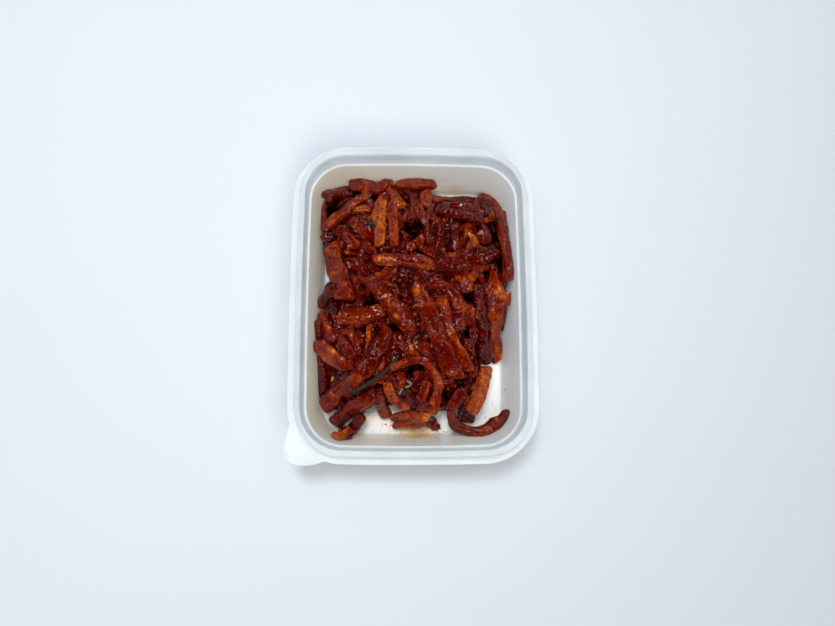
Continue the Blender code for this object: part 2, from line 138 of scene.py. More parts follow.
table_mesh = bpy.data.meshes.new("table")
half_table = TABLE_SIZE / 2
corners = [(x * half_table, y * half_table, 0) for x, y in ((-1, -1), (1, -1), (1, 1), (-1, 1))]
table_mesh.from_pydata(corners, [], [(0, 1, 2, 3)])
table = bpy.data.objects.new("table", table_mesh)
table.location = (0, 0, -TABLE_DROP)
bpy.context.scene.collection.objects.link(table)
# A smooth pale table top: almost no shine, with painted shade that makes it a little darker to the near
# right.
material, tree, shader = new_material("pale table", {"Roughness": 0.6, "Specular IOR Level": 0.2})
place = add_node(tree, "ShaderNodeTexCoord").outputs["Object"]
across_table = add_node(tree, "ShaderNodeVectorMath", {0: place, 1: PAINTED_FALL_OFF}, operation="DOT_PRODUCT")
share = add_node(tree, "ShaderNodeMath", {0: across_table.outputs["Value"], 1: 0.5}, operation="ADD")
table_shade_ramp = add_node(tree, "ShaderNodeValToRGB", {"Fac": share.outputs[0]})
set_ramp(table_shade_ramp, ((0.0, "#a6adb5"), (0.5, "#b8bfc6"), (1.0, "#c0c8ce")))
tree.links.new(table_shade_ramp.outputs["Color"], shader.inputs["Base Color"])
table_mesh.materials.append(material)


def add_lamp(name, place, size, power, tint_code, in_glints=True):
    """A square soft lamp at a place in metres, turned to face the box."""
    lamp = bpy.data.lights.new(name, "AREA")
    lamp.size = size
    lamp.energy = power
    lamp.color = colour(tint_code)[:3]
    item = bpy.data.objects.new(name, lamp)
    item.location = place
    item.rotation_euler = Vector(place).to_track_quat("Z", "Y").to_euler()
    item.visible_glossy = in_glints
    bpy.context.scene.collection.objects.link(item)


add_lamp("main lamp", (-0.08, 0.17, 0.85), 0.18, 4.6, "#f4fbff", in_glints=False)
add_lamp("large lamp", (0.02, 0.02, 1.00), 1.10, 4.3, "#f4fbff", in_glints=False)
add_lamp("near lamp", (0.14, -0.50, 0.80), 0.30, 4.0, "#fff0e0", in_glints=False)
for number, glint_place in enumerate(GLINT_PLACES):
    add_lamp(f"glint lamp {number}", glint_place, GLINT_SIZE, GLINT_POWER, "#ffe9e4")
world = bpy.data.worlds.new("room light")
bpy.context.scene.world = world
world.use_nodes = True
world.cycles_visibility.glossy = False
world.node_tree.nodes["Background"].inputs["Color"].default_value = colour("#eef4fb")
world.node_tree.nodes["Background"].inputs["Strength"].default_value = ROOM_LIGHT

# %% [markdown]
# ## Helpers for shapes
# Every new piece is a grid of points worked out with whole arrays: rows along it, columns round it. The
# first and last rows close on a pole, so each grid is one closed skin. Many grids join into one mesh.

# %% Shapes from grids
NOISE_CELLS = 64
NOISE_TABLE = np.random.default_rng(5).uniform(-1, 1, (NOISE_CELLS,) * 3)


def value_noise(points, cell):
    """Smooth random values from -1 to 1: draws on a lattice of this cell, blended by s * s * (3 - 2 * s)."""
    place = points / cell
    low = np.floor(place).astype(int)
    part = place - low
    part = part * part * (3 - 2 * part)
    total = 0.0
    for corner in np.ndindex(2, 2, 2):
        weight = np.prod(np.where(corner, part, 1 - part), axis=-1)
        spot = (low + corner) % NOISE_CELLS
        total = total + weight * NOISE_TABLE[spot[..., 0], spot[..., 1], spot[..., 2]]
    return total


def grid_faces(rows, columns, first):
    """Quads between neighbours of a grid that closes round its columns, and triangles to its two poles."""
    row = np.arange(rows - 1)[:, None] * columns
    step = np.arange(columns)[None, :]
    ahead = (step + 1) % columns
    quads = np.stack([row + step, row + ahead, row + columns + ahead, row + columns + step], axis=-1)
    last = (rows - 1) * columns
    start = np.stack([step[0] * 0 + rows * columns, ahead[0], step[0]], axis=-1)
    end = np.stack([step[0] * 0 + rows * columns + 1, last + step[0], last + ahead[0]], axis=-1)
    return quads.reshape(-1, 4) + first, np.concatenate([start, end]) + first


def enclosed_volume(points, quads, triangles):
    """The volume inside a closed skin, positive where its faces point out."""
    parts = np.concatenate([triangles, quads[:, [0, 1, 2]], quads[:, [0, 2, 3]]])
    a, b, c = (points[parts[:, corner]] for corner in range(3))
    return np.einsum("ij,ij->", a, np.cross(b, c)) / 6


def grid_object(name, grids, values, material, node):
    """Joins grids of points (rows, columns, 3) into one closed-skinned object with point attributes.

    values holds, for each attribute, one array (rows, columns) for each grid.
    """
    points, quads, triangles = [], [], []
    first = 0
    for grid in grids:
        rows, columns = grid.shape[:2]
        poles = np.stack([grid[0].mean(axis=0), grid[-1].mean(axis=0)])
        skin = np.concatenate([grid.reshape(-1, 3), poles])
        fours, threes = grid_faces(rows, columns, 0)
        if enclosed_volume(skin - skin.mean(axis=0), fours, threes) < 0:
            fours, threes = fours[:, ::-1], threes[:, ::-1]
        points.append(skin)
        quads.append(fours + first)
        triangles.append(threes + first)
        first += len(skin)
    points = np.concatenate(points)
    quads = np.concatenate(quads)
    triangles = np.concatenate(triangles)
    mesh = bpy.data.meshes.new(name)
    mesh.vertices.add(len(points))
    mesh.vertices.foreach_set("co", points.astype(np.float32).ravel())
    corners = np.concatenate([quads.ravel(), triangles.ravel()]).astype(np.int32)
    starts = np.concatenate([np.arange(len(quads)) * 4, len(quads) * 4 + np.arange(len(triangles)) * 3])
    mesh.loops.add(len(corners))
    mesh.loops.foreach_set("vertex_index", corners)
    mesh.polygons.add(len(starts))
    mesh.polygons.foreach_set("loop_start", starts.astype(np.int32))
    mesh.polygons.foreach_set("use_smooth", np.ones(len(starts), bool))
    mesh.update(calc_edges=True)
    for key, parts in values.items():
        flat = [np.concatenate([part.ravel(), [part[0].mean(), part[-1].mean()]]) for part in parts]
        attribute = mesh.attributes.new(key, "FLOAT", "POINT")
        attribute.data.foreach_set("value", np.concatenate(flat).astype(np.float32))
    mesh.materials.append(material)
    item = bpy.data.objects.new(name, mesh)
    bpy.context.scene.collection.objects.link(item)
    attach(item, "root")
    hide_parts(node)
    size = (points.max(axis=0) - points.min(axis=0)) / MM
    count = len(quads) * 2 + len(triangles)
    print(f"{name}: {count} triangles, {size[0]:.1f} x {size[1]:.1f} x {size[2]:.1f} mm")
    return item


# %% [markdown]
# ## The box's outline
# Seen from above, the box is a rounded rectangle whose sides bow out a little. Everything on it, from the
# floor's edge to the flange's lip, is this outline at another inset from the rim. The flange carries a
# round thumb tab on one corner, made by pushing the lip out along the diagonal.

# %% Box outline
RIM_WIDTH = 0.109
RIM_LENGTH = 0.144
BOX_HEIGHT = 0.040
WALL = 0.0009
RIM_CORNER = 0.021
LEAST_CORNER = 0.008
SIDE_BOW = 0.0172
RIM_BAND = 0.0023
SEAL_DEPTH = 0.0097
SEAL_FLARE = 0.0012
LEDGE_WIDTH = 0.0009
LEDGE_SLOPE = 0.0004
FLANGE_DROP = 0.0066
FLANGE_REACH = 0.00396
LIP_DROP = 0.0014
FLOOR_INSET = 0.0082
FLOOR_FILLET = 0.0045
FLOOR_RISE = 0.0002
STAND_INSET = 0.0177
TAB_REACH = 0.0090
TAB_HALF_WIDTH = 0.0115
TAB_ROUNDNESS = 0.42
CORNER_STEPS = 22
TAB_CORNER_STEPS = 48
SIDE_STEPS = 26


def box_outline(inset):
    """The outline at an inset: arcs and straight runs, times 1 - bow * (other coordinate / half)^2."""
    half = np.array((RIM_WIDTH, RIM_LENGTH)) / 2 - inset
    radius = max(RIM_CORNER - inset, LEAST_CORNER)
    signs = ((1, 1), (-1, 1), (-1, -1), (1, -1))
    counts = (CORNER_STEPS, CORNER_STEPS, TAB_CORNER_STEPS, CORNER_STEPS)
    corners = []
    for turn, (sign, count) in enumerate(zip(signs, counts)):
        angle = np.radians(90 * turn + np.linspace(0, 90, count + 1))
        centre = np.array(sign) * (half - radius)
        corners.append(centre + radius * np.stack([np.cos(angle), np.sin(angle)], axis=1))
    part = np.linspace(0, 1, SIDE_STEPS + 1)[1:-1, None]
    sides = [a[-1] + part * (b[0] - a[-1]) for a, b in zip(corners, corners[1:] + corners[:1])]
    points = np.concatenate([piece for pair in zip(corners, sides) for piece in pair])
    share = (points / half) ** 2
    return points * (1 - SIDE_BOW * share[:, ::-1])


def tab_push(points):
    """The lip's push along the diagonal: reach * (1 - s * s * (3 - 2 * s))^power, s from the corner."""
    diagonal = np.array((-1, -1)) / math.sqrt(2)
    corner = points[np.argmax(points @ diagonal)]
    across = np.abs((points - corner) @ np.array((1, -1)) / math.sqrt(2)) / TAB_HALF_WIDTH
    share = np.clip(across, 0, 1)
    lobe = (1 - share * share * (3 - 2 * share)) ** TAB_ROUNDNESS
    lobe[points @ diagonal < 0] = 0
    return TAB_REACH * lobe[:, None] * diagonal


# %% [markdown]
# ## The box's section
# One line from the floor's edge up the wall, over the ledge and the rim, down into the groove and out to
# the lip gives the inner face. The under face is the same line moved sideways by the wall's thickness.
# Moulded edges are never sharp, so each corner of both lines is rounded by its own small radius.

# %% Box section
BEZIER_STEPS = 6
SECTION_STEP = 0.7 * MM
MOST_CUT = 0.48
TAB_SHARES = (0, 0.94, 1)
TAB_STARTS = (0.5 * MM, 2.8 * MM, FLANGE_REACH)
UNDER_TAB_STARTS = (0.5 * MM, 2.0 * MM, FLANGE_REACH - WALL)


def offset_corners(corners, distance):
    """The line moved to its right: every corner slides along its mitre, distance / (1 + cos(turn))."""
    edges = np.diff(corners, axis=0)
    edges /= np.linalg.norm(edges, axis=1, keepdims=True)
    normals = np.column_stack([edges[:, 1], -edges[:, 0]])
    before = np.vstack([normals[:1], normals])
    after = np.vstack([normals, normals[-1:]])
    return corners + distance * (before + after) / (1 + (before * after).sum(axis=1))[:, None]


def spread_points(line, longest):
    """The same line with more points: each edge is cut into equal parts no longer than this."""
    parts = np.ceil(np.linalg.norm(np.diff(line, axis=0), axis=1) / longest).astype(int)
    pieces = [start + np.arange(count) / count for start, count in enumerate(parts)]
    places = np.concatenate(pieces + [[len(line) - 1]])
    return np.column_stack([np.interp(places, np.arange(len(line)), line[:, axis]) for axis in range(2)])


def round_corners(corners, radii):
    """Each corner becomes a curve (1-s)^2 a + 2 s (1-s) corner + s^2 b, cut radius * tan(turn / 2) off."""
    edges = np.diff(corners, axis=0)
    lengths = np.linalg.norm(edges, axis=1)
    ways = edges / lengths[:, None]
    part = np.linspace(0, 1, BEZIER_STEPS + 1)[:, None]
    line = [corners[:1]]
    for index in range(1, len(corners) - 1):
        cosine = np.clip(ways[index - 1] @ ways[index], -1, 1)
        cut = radii[index] * math.tan(math.acos(cosine) / 2)
        cut = min(cut, MOST_CUT * lengths[index - 1], MOST_CUT * lengths[index])
        a = corners[index] - cut * ways[index - 1]
        b = corners[index] + cut * ways[index]
        line.append((1 - part) ** 2 * a + 2 * part * (1 - part) * corners[index] + part ** 2 * b)
    line.append(corners[-1:])
    return np.concatenate(line)


ledge = BOX_HEIGHT - SEAL_DEPTH
flange = BOX_HEIGHT - FLANGE_DROP
wall_run = FLOOR_INSET - RIM_BAND - SEAL_FLARE - LEDGE_WIDTH
wall_slope = wall_run / (ledge - LEDGE_SLOPE - WALL - FLOOR_FILLET)
inner_corners = np.array((
    (-STAND_INSET, WALL),
    (-FLOOR_INSET - FLOOR_FILLET, WALL + FLOOR_RISE),
    (-FLOOR_INSET - wall_slope * FLOOR_FILLET, WALL + FLOOR_RISE),
    (-RIM_BAND - SEAL_FLARE - LEDGE_WIDTH, ledge - LEDGE_SLOPE),
    (-RIM_BAND - SEAL_FLARE, ledge),
    (-RIM_BAND, BOX_HEIGHT),
    (0, BOX_HEIGHT),
    (0, flange),
    (FLANGE_REACH, flange),
    (FLANGE_REACH, flange - LIP_DROP),
))
inner_radii = np.array((0, 0.5, 4.6, 0.45, 0.35, 0.55, 0.6, 0.5, 0.8, 0.3)) * MM
under_radii = np.array((0, 0.5, 5.5, 0.2, 0.9, 0.15, 0.15, 0.9, 0.2, 0.3)) * MM
under_corners = offset_corners(inner_corners, WALL)
inner_line = round_corners(inner_corners, inner_radii)
under_line = round_corners(under_corners, under_radii)[::-1]
section = np.vstack([spread_points(inner_line, SECTION_STEP), spread_points(under_line, 2 * SECTION_STEP)])
half_way = len(spread_points(inner_line, SECTION_STEP))
tab_share = np.interp(section[:, 0], TAB_STARTS, TAB_SHARES)
tab_share[half_way:] = np.interp(section[half_way:, 0], UNDER_TAB_STARTS, TAB_SHARES)
slope_degrees = math.degrees(math.atan(wall_slope))
print("section points:", len(section), "wall slope", round(slope_degrees, 1), "degrees")

# %% [markdown]
# ## Where the food lies
# The strips were laid in millimetres as they look from the camera against a level plane. Here they
# are laid again exactly as in the solids, one on the other over a height map, so that each fine strip
# takes the place of its plain one. The values are its width, its route, how dark or amber it is from 0 to
# 1, and for some how far it may lean up the wall.

# %% Listed strips
LOWER_STRIPS = (
    (4.5, ((-43.5, 50), (-44, 42), (-43.5, 34)), 0.50),
    (3.8, ((-31, 46.5), (-25, 47), (-19.5, 46.5)), 0.75),
    (6.5, ((-31, 42), (-26, 38), (-21, 31)), 0.35),
    (6.0, ((-38, 37), (-33, 33.5), (-27, 27)), 0.30),
    (5.5, ((12.5, 41), (12.5, 31), (13, 21)), 0.25),
    (5.5, ((19.5, 41), (20, 33), (20.5, 26)), 0.25),
    (8.0, ((27.5, 39), (33, 37), (38, 30)), 0.30),
    (5.5, ((25, -16), (27, -26), (28.5, -36)), 0.30),
    (4.0, ((43, -1), (43.5, -7), (42.5, -13)), 0.25),
    (4.0, ((-6.5, -33), (-6, -37), (-5.5, -41.5)), 0.50),
    (4.5, ((5.5, -37), (4.5, -42), (2.5, -47)), 0.50),
    (6.5, ((-18, -43), (-15, -49), (-12, -55)), 0.55),
    (5.0, ((-45, -27), (-45.5, -36), (-45, -46)), 0.15),
    (8.0, ((-37, -17), (-33, -22), (-30, -28)), 0.40),
    (5.0, ((3, -52), (7.5, -57), (11, -57.5)), 0.95),
    (7.5, ((24, -41), (20.5, -45.5), (17, -51)), 0.35),
    (5.5, ((-39, 1), (-38, -6), (-37, -13)), 0.15),
    (7.0, ((-31, 14), (-28, 7), (-25, 1)), 0.30),
    (5.0, ((-9, -14), (-6, -19), (-3, -24)), 0.30),
)
MIDDLE_STRIPS = (
    (8.0, ((-45.5, 53.5), (-38, 55.5), (-30, 56.5)), 0.42, 8),
    (7.5, ((-33, 62), (-27, 63), (-19, 62)), 0.60, 14),
    (7.0, ((-9, 62.5), (-1, 64), (12, 61)), 0.50, 14),
    (6.0, ((5.5, 58), (6, 54), (7, 48)), 0.70),
    (4.5, ((9, 53), (20, 52.5), (32, 52)), 0.50),
    (4.2, ((0, 51), (5, 43), (7.5, 29)), 0.45),
    (5.0, ((-3, 26), (1, 30), (5, 34)), 0.60),
    (6.5, ((-15, 56), (-17, 42), (-17, 28)), 0.75),
    (5.8, ((-10.5, 53), (-10, 42), (-9.5, 28)), 0.55),
    (5.0, ((-10, 63), (-13.5, 60), (-10, 55), (-4.5, 48)), 0.70),
    (9.0, ((13, 48.5), (24, 46), (35, 43)), 0.14),
    (5.2, ((32, 49), (34.5, 55), (38.5, 53), (41, 45), (35, 42.5)), 0.60),
    (6.8, ((38.5, 17), (40.5, 4), (39.5, -12), (40, -29)), 0.70),
    (8.0, ((33.5, -19), (34, -25), (34, -30)), 0.15),
    (7.0, ((21, 15), (25, 10), (27.5, 5)), 0.55),
    (4.5, ((43, 1), (47, 4), (49, -1.5)), 0.75),
    (9.5, ((-41, 29), (-37.5, 16), (-32, 1)), 0.50),
    (6.5, ((-38, 9), (-42, 3), (-45.5, -3)), 0.20),
    (7.0, ((-45.5, -4), (-42.5, -12), (-38, -19)), 0.65),
    (4.0, ((-47.3, -8), (-47.3, -19), (-43.5, -31)), 0.30),
    (7.5, ((-46, -18), (-40, -26), (-31.5, -30)), 0.60),
    (4.5, ((-30.5, -13), (-27.5, -21), (-25, -33)), 0.40),
    (2.6, ((-20.5, -10), (-22, -17), (-22.5, -25)), 0.90),
    (8.0, ((-12.5, -11), (-17, -22), (-25, -37)), 0.35),
    (8.5, ((-24, -35), (-35, -42.5), (-44.5, -51)), 0.55, 10),
    (8.5, ((-18, -43), (-28, -50), (-37.5, -58)), 0.42, 10),
    (7.0, ((-23, -54), (-29, -60.5), (-34.5, -65.5)), 0.45, 16),
    (4.0, ((-29, -60), (-35, -64.5), (-39, -65)), 0.70, 16),
    (4.5, ((-13, -38), (-10, -46), (-2, -50.5)), 0.75),
    (5.0, ((-11, -56), (-2, -54), (8, -54.5)), 0.75),
    (8.0, ((28, -45), (26, -51), (24, -57)), 0.80),
    (6.5, ((7, 10.5), (16.5, 8), (21.5, -1), (22.5, -14)), 0.40),
    (6.0, ((13, 3.5), (17, -11), (26.5, -33)), 0.60),
    (6.5, ((31, 10), (32.5, -4), (33.8, -18)), 0.15),
)
TOP_STRIPS = (
    (5.5, ((-44.5, 35.5), (-30, 49.5), (-12, 62)), 0.55),
    (6.8, ((43.5, 47), (47.5, 37), (47.7, 24), (46.3, 10.5)), 0.50, 10),
    (7.0, ((-20.5, 21.5), (-5, 21), (12.5, 18.5)), 0.60),
    (9.0, ((11, 19.5), (25, 20.5), (42, 27)), 0.10),
    (9.0, ((-22, 13), (-12, 0.5), (1, -15.5)), 0.45),
    (9.5, ((0, 11), (9, -10), (21, -37)), 0.40),
    (7.3, ((-37, -7.5), (-26, -6), (-14.5, -3.5)), 0.55),
    (4.4, ((-11, -32.5), (0, -27.5), (9, -31.5), (11.8, -42), (8.5, -53)), 0.65),
    (9.0, ((35.5, -30.5), (32, -42), (27, -53)), 0.85),
    (6.5, ((17, -51), (21, -59.5), (30, -62), (39, -58.5), (46, -51)), 0.45, 16),
)
CORE_RADII = (
    47, 51, 56, 62, 62, 57, 65, 65, 71, 70, 53, 44, 45, 49, 53, 62, 63, 51, 52, 54, 56, 45, 43, 43,
)
UNDER_SEED = 7
UNDER_COUNT = 24
UNDER_SPREAD = np.array((44, 60))
UNDER_WIDTHS = (5.5, 8.0)
UNDER_LENGTHS = (20, 34)
UNDER_BEND = 4
UNDER_TONE = 0.18
GOLDEN_ANGLE = math.pi * (3 - math.sqrt(5))
STEM_WIDTH = 2.2
STEM_ROUTE = ((-29.5, -43.5), (-21, -38.5), (-13, -32.5), (-7, -25))


def core_radius(angle):
    """The core's plan radius at an angle: a closed cubic curve through CORE_RADII, in metres."""
    count = len(CORE_RADII)
    place = (angle / (2 * math.pi) * count) % count
    index = place.astype(int)
    part = place - index
    before, start, end, after = (np.array(CORE_RADII)[(index + offset) % count] for offset in (-1, 0, 1, 2))
    radius = 0.5 * (2 * start + (end - before) * part
                    + (2 * before - 5 * start + 4 * end - after) * part ** 2
                    + (3 * start - before - 3 * end + after) * part ** 3)
    return radius * MM


def core_reach(plan):
    """The core's plan radius in the direction of each plan point, in metres."""
    return core_radius(np.arctan2(plan[..., 1], plan[..., 0]) % (2 * math.pi))


def golden_place(number, count, spread):
    """Place k of n at k golden angles round the middle, at spread * sqrt((k + 0.5) / n) from it."""
    turn = number * GOLDEN_ANGLE
    return spread * math.sqrt((number + 0.5) / count) * np.array((math.cos(turn), math.sin(turn)))


def under_strips():
    """Slightly bent strips in all directions, spread by the golden angle, that end inside the core."""
    draw = np.random.default_rng(UNDER_SEED)
    strips = []
    for number in range(UNDER_COUNT):
        middle = golden_place(number, UNDER_COUNT, UNDER_SPREAD)
        width = draw.uniform(*UNDER_WIDTHS)
        length = draw.uniform(*UNDER_LENGTHS)
        angle = draw.uniform(0, math.pi)
        along = 0.5 * length * np.array((math.cos(angle), math.sin(angle)))
        bend = draw.uniform(-UNDER_BEND, UNDER_BEND) * np.array((-math.sin(angle), math.cos(angle)))
        route = np.array((middle - along, middle + bend, middle + along))
        reach = core_reach(route) / MM - 0.5 * width
        route *= np.minimum(1, reach / np.linalg.norm(route, axis=1))[:, None]
        strips.append((width, route, UNDER_TONE))
    return tuple(strips)


print("strips:", UNDER_COUNT + len(LOWER_STRIPS) + len(MIDDLE_STRIPS) + len(TOP_STRIPS))

# %% [markdown]
# ## Laying the strips
# A strip rests on the highest and the mean height under its width, is smoothed along its length as a
# limp wet strip would be, leans on the wall where it runs out to it, and rolls to the side that is lower.
# Each laid strip writes its rounded top into the height map for those after it.

# %% Draping
READ_HEIGHT = 0.024
FOOD_GAP = 0.00045
HIGHEST_CLIMB = 0.0265
MOST_CLIMB = 0.0040
GRID_STEP = 0.001
GRID_HALF = np.array((60, 80))
STATION_STEP = 0.0056
LEAST_STATIONS = 5
STRIP_THICKNESS = 0.60
ROLL_SHARE = 0.6
SINK = 0.0008
UNDER_REACH = 0.42
MOST_ROLL = math.radians(24)
CORE_TOP = 0.0170
CORE_SHARES = (0.97, 0.92, 0.82, 0.55)
INNER_ROWS = ((12.7, 1.1), (10.45, 1.703), (8.803, 3.35), (8.2, 5.6), (4.4, 29.9), (3.5, 30.3), (2.3, 40.0))


def wall_inset(height):
    """The inner wall's inset at a height, along its plain section."""
    rows = np.array(INNER_ROWS) * MM
    return np.interp(height, rows[:, 1], rows[:, 0])


def rim_inset(plan):
    """How far inside the rim's outer edge a plan point is, square to the nearest side or corner."""
    half = np.array((RIM_WIDTH, RIM_LENGTH)) / 2
    bow = 1 - SIDE_BOW * np.clip(np.abs(plan) / half, 0, 1)[:, ::-1] ** 2
    reach = np.abs(plan / bow) - (half - RIM_CORNER)
    outside = np.linalg.norm(np.maximum(reach, 0), axis=1)
    return RIM_CORNER - outside - np.minimum(reach.max(axis=1), 0)


def wall_climb(plan, room):
    """The height at which the sloping wall leaves this much room outside a plan point."""
    heights = np.linspace(WALL, HIGHEST_CLIMB, 40)
    insets = wall_inset(heights)
    return np.interp(-(rim_inset(plan) - room), -insets, heights)


def keep_inside(points, room=0.0):
    """Pulls points in to FOOD_GAP, and any more room asked for, from the box's inner wall and floor."""
    points = points.copy()
    points[:, 2] = np.maximum(points[:, 2], WALL + FOOD_GAP)
    inset = wall_inset(points[:, 2]) + FOOD_GAP + room
    half = np.array((RIM_WIDTH, RIM_LENGTH)) / 2 - inset[:, None]
    radius = np.maximum(RIM_CORNER - inset, LEAST_CORNER)[:, None]
    bow = 1 - SIDE_BOW * np.clip(np.abs(points[:, :2]) / half, 0, 1)[:, ::-1] ** 2
    flat = points[:, :2] / bow
    reach = np.clip(np.abs(flat), 0, half) - (half - radius)
    length = np.linalg.norm(np.maximum(reach, 0), axis=1, keepdims=True)
    shrink = np.minimum(1, radius / np.maximum(length, 1e-9))
    reach = np.where(reach > 0, reach * shrink, reach)
    points[:, :2] = np.sign(flat) * (reach + half - radius) * bow
    return points


def smooth_route(points, count):
    """An even run of points on the cubic curve through the given ones (Catmull-Rom), in any dimension."""
    given = np.array(points, dtype=float)
    given = np.vstack([2 * given[0] - given[1], given, 2 * given[-1] - given[-2]])
    place = np.linspace(0, len(points) - 1, 12 * len(points))
    span = np.minimum(place.astype(int), len(points) - 2)
    part = (place - span)[:, None]
    before, start, end, after = (given[span + offset] for offset in range(4))
    curve = 0.5 * (2 * start + (end - before) * part
                   + (2 * before - 5 * start + 4 * end - after) * part ** 2
                   + (3 * start - before - 3 * end + after) * part ** 3)
    run = np.concatenate([[0], np.cumsum(np.linalg.norm(np.diff(curve, axis=0), axis=1))])
    even = np.linspace(0, run[-1], count)
    return np.column_stack([np.interp(even, run, curve[:, axis]) for axis in range(curve.shape[1])])


def grid_index(plan):
    """The height map's cell under each plan point."""
    cell = np.rint(plan / GRID_STEP).astype(int) + GRID_HALF
    return tuple(np.clip(cell, 0, 2 * GRID_HALF).reshape(-1, 2).T)


def soften(values):
    """One pass of a 1-2-1 average along a strip."""
    padded = np.concatenate([values[:1], values, values[-1:]])
    return 0.25 * padded[:-2] + 0.5 * padded[1:-1] + 0.25 * padded[2:]


def drape(route, width, thickness, most_climb, heights):
    """A strip's middle line, crosswise way and roll: the route seen from the eye, laid on the heights."""
    rough = np.linalg.norm(np.diff(np.array(route), axis=0), axis=1).sum() * MM
    stations = max(LEAST_STATIONS, round(rough / STATION_STEP))
    seen = smooth_route(route, stations) * MM
    middle = np.column_stack([seen, np.full(stations, READ_HEIGHT)])
    for _ in range(3):
        lift = (EYE[2] - middle[:, 2:]) / (EYE[2] - READ_HEIGHT)
        middle[:, :2] = EYE[:2] + (seen - EYE[:2]) * lift
        climb = wall_climb(middle[:, :2], 0.5 * thickness + FOOD_GAP)
        middle[:, :2] = keep_inside(middle, 0.5 * thickness)[:, :2]
        along = np.gradient(middle[:, :2], axis=0)
        along /= np.linalg.norm(along, axis=1, keepdims=True)
        across = np.column_stack([-along[:, 1], along[:, 0]])
        offsets = np.linspace(-UNDER_REACH, UNDER_REACH, 5) * width
        under = middle[:, None, :2] + offsets[None, :, None] * across[:, None, :]
        below = heights[grid_index(under)].reshape(stations, 5)
        support = 0.5 * below.max(axis=1) + 0.5 * below.mean(axis=1) + 0.5 * thickness - SINK
        support = np.maximum(support, np.minimum(climb, support + most_climb))
        for _ in range(2):
            support = np.maximum(support, soften(support))
        middle[:, 2] = soften(support)
    roll = np.arctan2(below[:, 4] - below[:, 0], 2 * UNDER_REACH * width) * ROLL_SHARE
    roll = soften(soften(np.clip(roll, -MOST_ROLL, MOST_ROLL)))
    return middle, across, roll


def raise_heights(heights, middle, across, width, thickness):
    """Writes a laid strip's rounded top, thickness / 2 * sqrt(1 - 0.8 * share^4), into the heights."""
    fine = np.linspace(0, len(middle) - 1, 5 * len(middle))
    line = np.column_stack([np.interp(fine, np.arange(len(middle)), middle[:, axis]) for axis in range(3)])
    side = np.column_stack([np.interp(fine, np.arange(len(middle)), across[:, axis]) for axis in range(2)])
    share = np.linspace(-1, 1, 13)
    plan = line[:, None, :2] + 0.5 * width * share[None, :, None] * side[:, None, :]
    top = line[:, 2:] + 0.5 * thickness * np.sqrt(1 - 0.8 * share ** 4)[None, :]
    np.maximum.at(heights, grid_index(plan), top.ravel())


def core_heights():
    """The height map of the bare core: its section over the share of the radius, and the floor outside it."""
    sides = [np.arange(-half, half + 1) for half in GRID_HALF]
    plan = np.stack(np.meshgrid(*sides, indexing="ij"), axis=-1) * GRID_STEP
    share = np.linalg.norm(plan, axis=-1) / core_reach(plan)
    rings = np.array((0, *CORE_SHARES[::-1]))
    tops = WALL + FOOD_GAP + (CORE_TOP - WALL - FOOD_GAP) * np.sqrt(1 - rings ** 9)
    floor = WALL + FOOD_GAP
    return np.interp(share, (*rings, 1.0, 1.001), (*tops, 0.35 * CORE_TOP, floor))


heights = core_heights()
laid = []
for strip in under_strips() + LOWER_STRIPS + MIDDLE_STRIPS + TOP_STRIPS:
    width, route, tone = strip[:3]
    most_climb = strip[3] * MM if len(strip) > 3 else MOST_CLIMB
    thickness = STRIP_THICKNESS * width * MM
    line = drape(route, width * MM, thickness, most_climb, heights)
    raise_heights(heights, line[0], line[1], width * MM, thickness)
    laid.append((*line, width * MM, thickness, tone))
stem_line = drape(STEM_ROUTE, STEM_WIDTH * MM, STEM_WIDTH * MM, MOST_CLIMB, heights)
print("laid strips:", len(laid), "highest", round(float(heights.max()) / MM, 1), "mm")

# %% [markdown]
# ## Levels and gaps
# The height map, blurred, is the heap's general level. What lies well below it gets painted shade: its
# tone is darkened towards black. In a few places, read off like the strips, one looks into deep gaps,
# painted black as shade (place and radius), and in others the paste has rubbed off and the pale fibres
# show, lit by a painted highlight on their ridges (place, radius and strength).

# %% Levels and gaps
BLUR_PASSES = 9
PIT_LEVEL = 0.016
PITS = (
    (-20, 54, 2.2), (-42, 47, 1.8), (-21, 39, 2.0), (-1.5, 36, 3.2), (2, 37.5, 2.2), (11, 45.5, 2.8),
    (36, 45, 1.6), (40.5, 33.5, 2.6), (5, 26.5, 1.8), (26, 2, 2.4), (-22, -1, 2.4), (-24, -13, 1.8),
    (-17, -14, 2.2), (-9, -12, 1.6), (4, -32, 1.8), (14, -44, 2.4), (26, -16, 1.8), (22, -39, 1.8),
    (-37, -50, 1.0), (-33, -46.5, 1.0), (-1, -33, 1.6), (31, 36, 1.6), (42, 20, 1.6), (-40.5, 20, 1.2),
    (31, -28, 1.6), (-1, 20, 1.4),
)
# Where the paste has rubbed off, and where a painted highlight lies on the pale tops and ridges.
BARE_AND_HIGHLIGHT_PLACES = (
    (-17, 21.6, 3.4, 0.85), (-11.5, 21, 3.2, 0.75), (-5.5, 20, 2.6, 0.45), (-15, 4, 2.8, 0.50),
    (-11.5, -1, 3.0, 0.60), (-8, -6, 3.0, 0.60), (-4.5, -11, 2.4, 0.40), (1.5, 7, 3.8, 0.80),
    (4, 1.5, 3.0, 0.45), (-33.5, 26.5, 2.6, 0.90), (-37.5, -23, 3.4, 0.75), (-33, -27, 2.8, 0.60),
    (-11, 30, 2.0, 0.60), (27.5, 8, 2.6, 0.65), (10.5, 2, 2.4, 0.50), (33, -32, 3.6, 0.75),
    (30, -41, 3.2, 0.65), (20, -22, 2.2, 0.50), (-30, -1.5, 3.0, 0.45), (24, -13, 2.2, 0.45),
    (37, 6, 2.8, 0.60), (-4, 33, 1.6, 0.60), (24, 32, 2.0, 0.50), (-40, -36, 3.0, 0.35),
    (38, 22, 2.4, 0.40),
)
# The share of painted black shade that a gap gives even to the strips lying on top of it.
GAP_SHADE_BASE = 0.55


